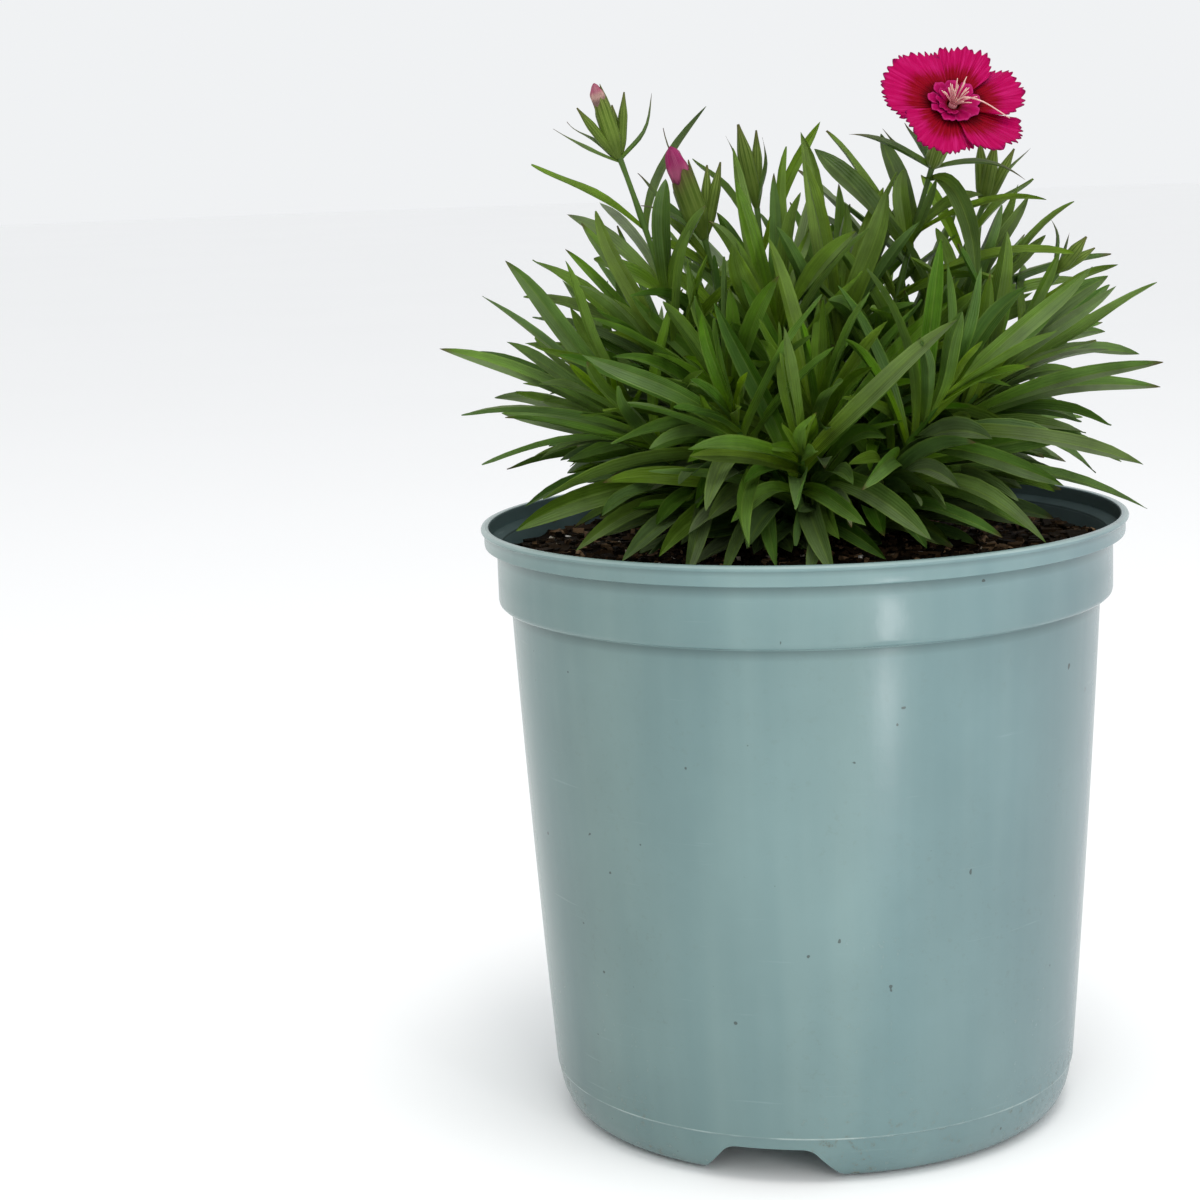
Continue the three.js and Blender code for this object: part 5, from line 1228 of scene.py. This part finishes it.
def lumps(x, y, size, seed):
    """Smooth random heights from 0 to 1 with features about size millimetres wide."""
    grid = np.random.default_rng(seed).random((LUMP_CELLS, LUMP_CELLS))
    u, v = x / size + LUMP_CELLS / 2, y / size + LUMP_CELLS / 2
    i, j = np.floor(u).astype(int) % (LUMP_CELLS - 1), np.floor(v).astype(int) % (LUMP_CELLS - 1)
    fu, fv = u - np.floor(u), v - np.floor(v)
    fu, fv = fu * fu * (3 - 2 * fu), fv * fv * (3 - 2 * fv)
    low = grid[i, j] * (1 - fu) + grid[i + 1, j] * fu
    high = grid[i, j + 1] * (1 - fu) + grid[i + 1, j + 1] * fu
    return low * (1 - fv) + high * fv


def soil_top(x, y):
    rough = sum(height * lumps(x, y, size, seed) for height, size, seed in SOIL_LUMPS)
    return soil_height(x, y) + rough - SOIL_LUMPS_LEVEL


def make_soil(material):
    angles = circle(SOIL_SIDES)
    radius = np.concatenate([[1.2], np.linspace(3, SOIL_RADIUS, 84)])[:, None]
    x, y = radius * np.cos(angles), radius * np.sin(angles)
    under = [(COLLAR_RADIUS - 2.1, COLLAR_BOTTOM + 2.4), (BODY_TOP_RADIUS - 2.1, COLLAR_BOTTOM - 1),
             (SEAM_RADIUS - 2.1, SEAM_HEIGHT + 0.6)]
    points = [*np.stack([x, y, soil_top(x, y)], -1), *level_rings(*column(under), SOIL_SIDES)]
    builder = Builder()
    builder.add(points, loop_faces(len(points), SOIL_SIDES))
    soil = builder.piece("soil_fine", material)
    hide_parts("soil")


# Loose bits: (piece, kind, count), their sizes along x, y and z as (least, more, power of the draw), and
# the box that each is made from.
CHIPS = [("soil_bark", "bark", 700), ("soil_crumbs", "crumb", 2600), ("soil_grains", "grain", 170)]
CHIP_SIZES = {
    "bark": [(1.6, 4.4, 2), (0.9, 1.6, 1), (0.5, 0.8, 1)],
    "grain": [(0.6, 0.9, 1), (0.6, 0.7, 1), (0.5, 0.5, 1)],
    "crumb": [(0.7, 1.6, 1), (0.6, 1.2, 1), (0.5, 0.9, 1)],
}
CHIP_CORNERS = np.array([(-1, -1, -1), (1, -1, -1), (1, 1, -1), (-1, 1, -1),
                         (-1, -1, 1), (1, -1, 1), (1, 1, 1), (-1, 1, 1)])
CHIP_FACES = [[0, 3, 2, 1], [4, 5, 6, 7], [0, 1, 5, 4], [1, 2, 6, 5], [2, 3, 7, 6], [3, 0, 4, 7]]
LARGEST_CHIP = 4.4
CHIP_SEED = 900
LOOSE_RADIUS, HEAP_RADIUS = 91.5, 85.5
# Heaps of coarse bits on the soil: centre, spread, how many, and how pale the palest are.
HEAPS = [(-78, -8, 7, 60, 1.0), (80, -6, 9, 80, 0.86), (30, -76, 9, 60, 0.88), (-40, -78, 8, 40, 0.8),
         (84, 24, 7, 60, 0.86)]


def add_chip(builder, random, kind, heap=None):
    """One bit of bark, or one pale grain, lying half sunk in the peat or loose on a heap."""
    reach, angle = LOOSE_RADIUS * math.sqrt(random()), random() * FULL_TURN
    centre, lift, palest = (0, 0), 0, 1
    if heap:
        *centre, spread, _, palest = heap
        reach = spread * math.sqrt(random())
    x, y = centre[0] + reach * math.cos(angle), centre[1] + reach * math.sin(angle)
    size = np.array([least + more * random() ** power for least, more, power in CHIP_SIZES[kind]])
    if heap:
        inward = min(1, HEAP_RADIUS / math.hypot(x, y))
        x, y = x * inward, y * inward
        size = np.minimum(size * (0.9 + 0.6 * random()), LARGEST_CHIP)
    rough = np.array([[random() for _ in range(3)] for _ in CHIP_CORNERS]) * 0.7 + 0.35
    yaw, tilt = random() * PHASES, (random() - 0.5) * 0.9
    turn = np.array(Matrix.Rotation(yaw, 3, "Z") @ Matrix.Rotation(tilt, 3, "X"))
    if heap:
        lift = 2.6 * random() * (1 - reach / spread)
    place = np.array([x, y, float(soil_top(x, y)) + 0.25 * size[2] + lift])
    builder.add((CHIP_CORNERS * size * rough) @ turn.T + place, CHIP_FACES, tint=random() * palest)


def make_chips(bark, grain):
    for name, kind, count in CHIPS:
        builder = Builder("tint")
        random = seeded_random(CHIP_SEED + count)
        for _ in range(count):
            add_chip(builder, random, kind)
        for heap in HEAPS if kind == "bark" else []:
            for _ in range(heap[3]):
                add_chip(builder, random, kind, heap)
        piece = builder.piece(name, grain if kind == "grain" else bark)
        piece.data.polygons.foreach_set("use_smooth", [kind == "grain"] * len(piece.data.polygons))


# ---------------------------------------------------------------- materials


class Nodes:
    """A material's nodes, made and linked by name."""

    def __init__(self, name, roughness, specular):
        self.material = bpy.data.materials.new(name)
        self.material.use_nodes = True
        self.tree = self.material.node_tree
        self.shader = self.tree.nodes["Principled BSDF"]
        self.shader.inputs["Roughness"].default_value = roughness
        self.shader.inputs["Specular IOR Level"].default_value = specular

    def link(self, source, target):
        self.tree.links.new(source, target)

    def node(self, kind, **settings):
        made = self.tree.nodes.new(kind)
        for key, value in settings.items():
            setattr(made, key, value)
        return made

    def fill(self, sockets, values):
        """Sets each socket to its number or colour, or links it."""
        for socket, value in zip(sockets, values):
            if isinstance(value, tuple):
                socket.default_value = (*value, 1)
            elif isinstance(value, (int, float)):
                socket.default_value = value
            else:
                self.link(value, socket)

    def attribute(self, name):
        return self.node("ShaderNodeAttribute", attribute_name=name).outputs["Fac"]

    def place(self, scale=(1, 1, 1)):
        """Position on the object, stretched by a scale."""
        coordinates = self.node("ShaderNodeTexCoord")
        mapping = self.node("ShaderNodeMapping")
        mapping.inputs["Scale"].default_value = scale
        self.link(coordinates.outputs["Object"], mapping.inputs["Vector"])
        return mapping.outputs["Vector"]

    def axes(self, vector):
        made = self.node("ShaderNodeSeparateXYZ")
        self.link(vector, made.inputs["Vector"])
        return made.outputs

    def upward(self):
        """How far the surface faces up."""
        return self.axes(self.node("ShaderNodeNewGeometry").outputs["Normal"])["Z"]

    def grid(self, *values):
        """A vector of values, so that noise can run along a leaf or a petal."""
        made = self.node("ShaderNodeCombineXYZ")
        self.fill(made.inputs, values)
        return made.outputs["Vector"]

    def noise(self, vector, scale, detail=3, roughness=0.55):
        made = self.node("ShaderNodeTexNoise")
        self.fill([made.inputs[key] for key in ("Vector", "Scale", "Detail", "Roughness")],
                  (vector, scale, detail, roughness))
        return made.outputs["Fac"]

    def ramp(self, value, *stops):
        """A ramp of (position, grey or colour) stops."""
        made = self.node("ShaderNodeValToRGB")
        elements = made.color_ramp.elements
        while len(elements) < len(stops):
            elements.new(0.5)
        for element, (position, colour) in zip(elements, stops):
            element.position = position
            element.color = (*colour, 1) if isinstance(colour, tuple) else (colour, colour, colour, 1)
        self.link(value, made.inputs["Fac"])
        return made.outputs["Color"]

    def math(self, operation, first, second=0.0, third=0.5, clamp=False):
        made = self.node("ShaderNodeMath", operation=operation, use_clamp=clamp)
        self.fill(made.inputs, (first, second, third))
        return made.outputs["Value"]

    def times(self, first, second):
        return self.math("MULTIPLY", first, second)

    def plus(self, first, second):
        return self.math("ADD", first, second)

    def scaled(self, value, factor, offset):
        return self.math("MULTIPLY_ADD", value, factor, offset)

    def under(self, value, limit):
        return self.math("LESS_THAN", value, limit)

    def over(self, value, limit):
        return self.math("GREATER_THAN", value, limit)

    def mix(self, share, first, second, blend="MIX"):
        # Its sockets are taken by number where those for numbers and for colours have the same name.
        made = self.node("ShaderNodeMix", data_type="RGBA", blend_type=blend)
        self.fill((made.inputs["Factor"], made.inputs[6], made.inputs[7]), (share, first, second))
        return made.outputs[2]

    def multiply(self, first, second, share=1.0):
        """A colour multiplied by another one, or part of the way to it."""
        return self.mix(share, first, second, "MULTIPLY")

    def shade(self, colour, value):
        """A colour made lighter or darker by a value round 1."""
        made = self.node("ShaderNodeHueSaturation")
        self.link(colour, made.inputs["Color"])
        self.link(value, made.inputs["Value"])
        return made.outputs["Color"]

    def bump(self, height, strength, distance):
        made = self.node("ShaderNodeBump")
        made.inputs["Strength"].default_value = strength
        made.inputs["Distance"].default_value = distance
        self.link(height, made.inputs["Height"])
        self.link(made.outputs["Normal"], self.shader.inputs["Normal"])

    def colour(self, colour):
        self.link(colour, self.shader.inputs["Base Color"])

    def translucent(self, colour, share):
        """Lets some of the light through to the far side, as thin leaves and petals do."""
        through = self.node("ShaderNodeBsdfTranslucent")
        mixed = self.node("ShaderNodeMixShader")
        mixed.inputs["Fac"].default_value = share
        self.link(colour, through.inputs["Color"])
        self.link(self.shader.outputs["BSDF"], mixed.inputs[1])
        self.link(through.outputs["BSDF"], mixed.inputs[2])
        self.link(mixed.outputs["Shader"], self.tree.nodes["Material Output"].inputs["Surface"])


def leaf_material():
    n = Nodes("leaf_waxy_green", 0.4, 0.3)
    along, side, tint = n.attribute("along"), n.attribute("side"), n.attribute("tint")
    bloom = n.attribute("bloom")
    # Older leaves are darker and greyer; on the low leaves this also carries painted shade.
    base = n.ramp(n.attribute("age"), (0.0, (0.148, 0.276, 0.001)), (0.3, (0.080, 0.194, 0.001)),
                  (0.6, (0.044, 0.140, 0.001)), (0.8, (0.034, 0.112, 0.003)), (1.0, (0.038, 0.100, 0.010)))
    base = n.shade(base, n.scaled(tint, 0.3, 1.05))
    base = n.mix(n.ramp(along, (0.0, 0.7), (0.16, 0.35), (0.4, 0.0)), base, (0.180, 0.300, 0.008))
    yellow = n.ramp(n.math("FRACT", n.times(tint, 5.7)), (0.5, 0.0), (1.0, 0.6))
    base = n.mix(yellow, base, (0.132, 0.205, 0.003))
    # Painted sheen: the grey bloom is mixed in more where the leaf faces up, as light from above would show
    # on it.
    facing = n.ramp(n.upward(), (0.0, 0.45), (0.6, 1.0))
    wax_and_sheen = n.times(bloom, n.times(facing, n.ramp(along, (0.1, 0.2), (0.5, 1.0))))
    base = n.mix(wax_and_sheen, base, (0.112, 0.152, 0.066))
    # A paler midrib, and a painted rim light: the leaf's edges are painted lighter.
    rib = n.ramp(n.math("ABSOLUTE", side), (0.0, 0.4), (0.08, 0.2), (0.18, 0.0), (0.84, 0.0), (1.0, 0.5))
    base = n.mix(rib, base, (0.170, 0.265, 0.040))
    base = n.mix(n.times(n.attribute("under"), 0.3), base, (0.090, 0.150, 0.050))
    streak = n.noise(n.grid(n.times(side, 9.0), n.times(along, 1.5), n.times(tint, 40.0)), 1.0, 4, 0.6)
    blotch = n.noise(n.place(), 90, 4)
    olive = n.ramp(streak, (0.35, (0.092, 0.150, 0.022)), (0.52, (0.160, 0.222, 0.044)),
                   (0.68, (0.310, 0.360, 0.125)))
    base = n.mix(n.attribute("olive"), base, olive)
    mottled = n.times(n.ramp(streak, (0.3, 0.76), (0.7, 1.25)), n.ramp(blotch, (0.3, 0.78), (0.7, 1.28)))
    base = n.shade(base, mottled)
    tip = n.times(n.ramp(along, (0.93, 0.0), (1.0, 1.0)), n.ramp(tint, (0.55, 0.0), (0.7, 0.9)))
    base = n.mix(tip, base, (0.120, 0.070, 0.030))
    base = n.mix(n.attribute("blush"), base, (0.110, 0.050, 0.036))
    n.colour(base)
    n.link(n.scaled(blotch, 0.25, 0.3), n.shader.inputs["Roughness"])
    n.link(n.scaled(bloom, 0.36, 0.1), n.shader.inputs["Specular IOR Level"])
    veins = n.math("SINE", n.times(side, 26.0))
    n.bump(n.plus(n.times(veins, 0.25), blotch), 0.35, 0.0004)
    n.translucent(n.mix(0.5, base, (0.170, 0.380, 0.004)), 0.22)
    return n.material


def petal_material(name, eye, magenta, rim, streaks):
    n = Nodes(name, 0.62, 0.05)
    radius, turn = n.attribute("radius"), n.attribute("turn")
    streak = n.noise(n.grid(n.times(turn, 13.0), n.times(radius, 2.0)), 1.0, 4, 0.6)
    place = n.plus(radius, n.times(n.math("SUBTRACT", streak, 0.5), 0.34))
    dark = tuple(value * 0.45 for value in eye)
    colour = n.ramp(place, (0.15, dark), (0.38, dark), (0.48, eye), (0.58, eye), (0.72, magenta),
                    (0.95, magenta))
    colour = n.mix(n.ramp(radius, (0.93, 0.0), (0.99, 0.85)), colour, rim)
    light = n.times(n.ramp(streak, (0.48, 0.0), (0.7, 0.6)), n.ramp(radius, (0.45, 0.0), (0.7, 1.0)))
    colour = n.mix(light, colour, streaks)
    n.colour(colour)
    veins = n.math("SINE", n.times(turn, 90.0))
    n.bump(n.plus(n.times(veins, 0.3), streak), 0.5, 0.0005)
    n.translucent(colour, 0.2)
    return n.material


def ruff_material():
    n = Nodes("ruff_purple_pink", 0.55, 0.06)
    streak = n.noise(n.place(), 900, 3)
    place = n.plus(n.attribute("radius"), n.times(n.math("SUBTRACT", streak, 0.5), 0.3))
    colour = n.ramp(place, (0.2, (0.17, 0.001, 0.02)), (0.6, (0.36, 0.001, 0.075)),
                    (0.86, (0.42, 0.002, 0.10)), (0.98, (0.52, 0.022, 0.17)))
    n.colour(colour)
    n.bump(streak, 0.3, 0.0003)
    n.translucent(colour, 0.2)
    return n.material


def stamen_material():
    n = Nodes("stamen_pale_pink", 0.5, 0.4)
    grain = n.noise(n.place(), 700, 3)
    colour = n.ramp(n.attribute("radius"), (0.0, (0.55, 0.10, 0.14)), (0.5, (0.78, 0.38, 0.40)),
                    (1.0, (0.85, 0.62, 0.52)))
    n.colour(n.multiply(colour, n.ramp(grain, (0.3, 0.6), (0.7, 1.2)), 0.25))
    n.translucent(colour, 0.2)
    return n.material


def pot_inside(n, across, z):
    """Where the surface is inside the pot: within the collar, or within the lip band."""
    above = n.over(z, (COLLAR_BOTTOM + 1.1) * MM)
    in_collar = n.times(n.under(across, (COLLAR_RADIUS - WALL / 2) * MM), above)
    in_band = n.times(n.under(across, (BAND_RADIUS - 1.3) * MM), n.over(z, (BAND_BOTTOM + 0.2) * MM))
    return n.math("MAXIMUM", in_collar, in_band)


# Painted shadow lines under the pot's lip, band and collar: (height, how far down they fade, strength).
POT_PAINTED_SHADOWS = [(0.1853, 0.0016, 0.3), (0.1806, 0.0038, 0.5), (0.1616, 0.0032, 0.36)]


def pot_material():
    n = Nodes("pot_grey_green_plastic", 0.26, 0.5)
    x, _, z = n.axes(n.place())
    distance = n.node("ShaderNodeVectorMath", operation="LENGTH")
    n.link(n.place((1, 1, 0)), distance.inputs[0])
    across = distance.outputs["Value"]
    inside = pot_inside(n, across, z)
    bands = n.noise(n.place((14, 14, 0.9)), 3.0, 3)
    cloud = n.noise(n.place((3, 3, 3)), 6.0, 4)
    base = n.mix(n.ramp(bands, (0.35, 0.0), (0.65, 1.0)), (0.138, 0.222, 0.228), (0.166, 0.252, 0.252))
    base = n.multiply(base, n.ramp(cloud, (0.3, 0.72), (0.7, 1.18)), 0.3)
    sideways = n.scaled(x, 5.0, 0.5)
    # Painted shade: the outside of the pot is darker towards its left and right sides, as if lit from the
    # front.
    base = n.multiply(base, n.ramp(sideways, (0.0, (0.90, 0.88, 0.83)), (0.42, (1.04, 1.04, 1.03)),
                                   (0.6, (1.0, 1.0, 1.0)), (0.9, (0.90, 0.89, 0.93))))
    # Painted light and shade: the pot is lighter towards the rim and collar and darker towards the foot.
    base = n.multiply(base, n.ramp(n.times(z, 5.0), (0.0, 0.9), (0.5, 1.0), (0.82, 1.04), (0.9, 1.14)))
    # Painted shadows under each step of the rim, fading downwards.
    for top, fade, strength in POT_PAINTED_SHADOWS:
        below = n.math("ADD", n.times(z, 1 / fade), 1 - top / fade, clamp=True)
        below = n.times(below, n.under(z, top))
        base = n.mix(n.times(below, strength), base, (0.020, 0.032, 0.030))
    # A painted highlight: a pale line along the top edge of the lip.
    edge = n.times(n.over(z, (POT_HEIGHT - 0.75) * MM), n.over(across, (LIP_RADIUS - 1.3) * MM))
    base = n.mix(n.times(edge, n.ramp(cloud, (0.3, 0.25), (0.7, 0.75))), base, (0.330, 0.420, 0.405))
    # Painted shade inside the pot: the inner wall is darker, the ledge that faces up is darker still, and the
    # inner wall is painted lighter towards the left.
    ledge = n.over(n.upward(), 0.3)
    inner = n.mix(ledge, (0.068, 0.100, 0.104), (0.024, 0.036, 0.036))
    inner = n.multiply(inner, n.ramp(sideways, (0.04, (1.75, 1.85, 1.9)), (0.34, 1.0)))
    base = n.mix(n.times(inside, 0.85), base, inner)
    dust = n.ramp(n.noise(n.place(), 420, 5, 0.7), (0.56, 0.0), (0.66, 1.0))
    near_foot = n.ramp(z, (0.0, 1.0), (0.012, 0.55), (0.024, 0.12), (0.16, 0.05))
    patch = n.ramp(n.noise(n.place(), 28, 2), (0.45, 0.0), (0.6, 1.0))
    dust = n.times(n.times(dust, near_foot), patch)
    base = n.mix(dust, base, (0.085, 0.070, 0.036))
    specks = n.ramp(n.noise(n.place(), 330, 1, 0.3), (0.805, 0.0), (0.82, 0.8))
    base = n.mix(specks, base, (0.050, 0.060, 0.055))
    seam = n.under(n.math("ABSOLUTE", n.math("SUBTRACT", z, (SEAM_HEIGHT - 0.15) * MM)), 0.3 * MM)
    seam = n.times(seam, n.ramp(n.noise(n.place(), 60, 4), (0.4, 0.1), (0.6, 0.6)))
    base = n.mix(seam, base, (0.420, 0.500, 0.480))
    scuffs = n.ramp(n.noise(n.place((22, 22, 700)), 1.0, 3, 0.6), (0.68, 0.0), (0.74, 0.12))
    n.colour(n.mix(scuffs, base, (0.320, 0.430, 0.420)))
    dull = n.times(n.math("MAXIMUM", dust, inside), 0.4)
    n.link(n.plus(n.scaled(cloud, 0.16, 0.15), dull), n.shader.inputs["Roughness"])
    n.link(n.scaled(inside, -0.27, 0.3), n.shader.inputs["Specular IOR Level"])
    scratch = n.noise(n.place((900, 900, 30)), 1.0, 5, 0.75)
    n.bump(n.plus(n.noise(n.place(), 260, 4), n.times(scratch, 0.3)), 0.12, 0.0004)
    return n.material


def peat_material():
    n = Nodes("peat_dark_brown", 0.92, 0.05)
    coarse, fine = n.noise(n.place(), 160, 5), n.noise(n.place(), 900, 4, 0.7)
    colour = n.ramp(coarse, (0.3, (0.005, 0.003, 0.002)), (0.55, (0.014, 0.009, 0.005)),
                    (0.75, (0.038, 0.024, 0.013)))
    n.colour(n.multiply(colour, n.ramp(fine, (0.35, 0.4), (0.7, 1.7)), 0.6))
    n.bump(n.plus(coarse, fine), 0.9, 0.0012)
    return n.material


def bark_material():
    n = Nodes("bark_bits", 0.85, 0.08)
    grain = n.noise(n.place((1, 1, 3)), 500, 4)
    colour = n.ramp(n.attribute("tint"), (0.0, (0.005, 0.004, 0.002)), (0.5, (0.022, 0.013, 0.006)),
                    (0.8, (0.054, 0.031, 0.015)), (1.0, (0.240, 0.150, 0.080)))
    n.colour(n.multiply(colour, n.ramp(grain, (0.35, 0.5), (0.7, 1.5)), 0.6))
    n.bump(grain, 0.7, 0.0008)
    return n.material


def grain_material():
    n = Nodes("perlite_grains", 0.8, 0.3)
    fine = n.noise(n.place(), 1500, 4)
    colour = n.ramp(n.attribute("tint"), (0.0, (0.28, 0.20, 0.12)), (0.6, (0.50, 0.44, 0.36)),
                    (1.0, (0.72, 0.70, 0.66)))
    n.colour(n.multiply(colour, n.ramp(fine, (0.35, 0.6), (0.7, 1.2)), 0.4))
    n.bump(fine, 0.5, 0.0004)
    return n.material


# ---------------------------------------------------------------- the object's pieces

leaf_look = leaf_material()
for shoot in shoots:
    add_foliage(shoot, leaf_look)
bud_looks = {
    "bud_petals_left": petal_material("bud_petal_pale", (0.56, 0.34, 0.30), (0.42, 0.10, 0.17),
                                      (0.30, 0.03, 0.10), (0.66, 0.42, 0.42)),
    "bud_petals_pink": petal_material("bud_petal_pink", (0.44, 0.10, 0.20), (0.34, 0.022, 0.125),
                                      (0.26, 0.015, 0.10), (0.60, 0.20, 0.34)),
}
for shoot in shoots:
    for bud in shoot.get("buds", []):
        if len(bud) > 7:
            make_bud_petals(bud, bud_looks[bud[8]])
petal_look = petal_material("petal_magenta", (0.27, 0.0006, 0.010), (0.46, 0.0010, 0.090),
                            (0.14, 0.002, 0.055), (0.66, 0.024, 0.21))
make_flower(petal_look, ruff_material())
make_stamens(stamen_material())
make_pot(pot_material())
make_soil(peat_material())
make_chips(bark_material(), grain_material())

# ---------------------------------------------------------------- camera, floor and light

CAMERA_FOCAL = 78.1
CAMERA_PLACE = (0, -0.8053, 0.30405)
CAMERA_YAW, CAMERA_PITCH, CAMERA_ROLL = -0.0792, 0.1752, -0.0357
FLOOR_RADIUS, FLOOR_HEIGHT, FLOOR_SIDES = 12000, -0.4, 96


def in_place(name, data, place, right, up, back):
    """Adds a camera or light that looks away from its back axis."""
    made = bpy.data.objects.new(name, data)
    bpy.context.collection.objects.link(made)
    made.matrix_world = Matrix.Translation(place) @ Matrix((right, up, back)).transposed().to_4x4()
    return made


def make_camera():
    sy, cy = math.sin(CAMERA_YAW), math.cos(CAMERA_YAW)
    sp, cp = math.sin(CAMERA_PITCH), math.cos(CAMERA_PITCH)
    sr, cr = math.sin(CAMERA_ROLL), math.cos(CAMERA_ROLL)
    forward, level = vec(sy * cp, cy * cp, -sp), vec(cy, -sy, 0)
    upright = cross(level, forward)
    lens = bpy.data.cameras.new("camera")
    lens.lens, lens.sensor_width = CAMERA_FOCAL, 36
    bpy.context.scene.camera = in_place("camera", lens, CAMERA_PLACE, level * cr + upright * sr,
                                        upright * cr - level * sr, -forward)


def make_floor():
    n = Nodes("floor_pale", 0.9, 0.2)
    cloud = n.noise(n.place(), 2.0, 2)
    n.colour(n.mix(cloud, (0.965, 0.965, 0.965), (0.985, 0.985, 0.985)))
    rim = level_rings(FLOOR_RADIUS, FLOOR_HEIGHT, FLOOR_SIDES)
    floor = plain_object("floor", rim, [list(range(FLOOR_SIDES))])
    floor.data.materials.append(n.material)


def area_light(name, place, target, size, energy, colour):
    data = bpy.data.lights.new(name, "AREA")
    data.shape, data.size, data.size_y = "RECTANGLE", size[0], size[1]
    data.energy, data.color = energy, colour
    back = -unit(vec(*target) - vec(*place))
    right = unit(cross(vec(0, 0, 1), back))
    in_place(name, data, place, right, cross(back, right), back)


def make_world():
    world = bpy.data.worlds.new("studio")
    world.use_nodes = True
    background = world.node_tree.nodes["Background"]
    background.inputs["Color"].default_value = (0.97, 0.985, 1.0, 1)
    background.inputs["Strength"].default_value = 0.9
    bpy.context.scene.world = world


make_camera()
make_floor()
make_world()
area_light("front", (0.1, -1.5, 1.2), (0, 0, 0.2), (0.9, 0.9), 5, (1.0, 0.98, 0.95))
area_light("top", (0.2, -0.4, 1.7), (0, 0, 0.25), (0.7, 0.7), 9, (1.0, 0.99, 0.96))
area_light("strip", (0.21, -0.4, 0.105), (0.024, -0.09, 0.105), (0.045, 0.19), 0.42, (1.0, 1.0, 1.0))
bpy.context.scene.view_settings.view_transform = "Standard"
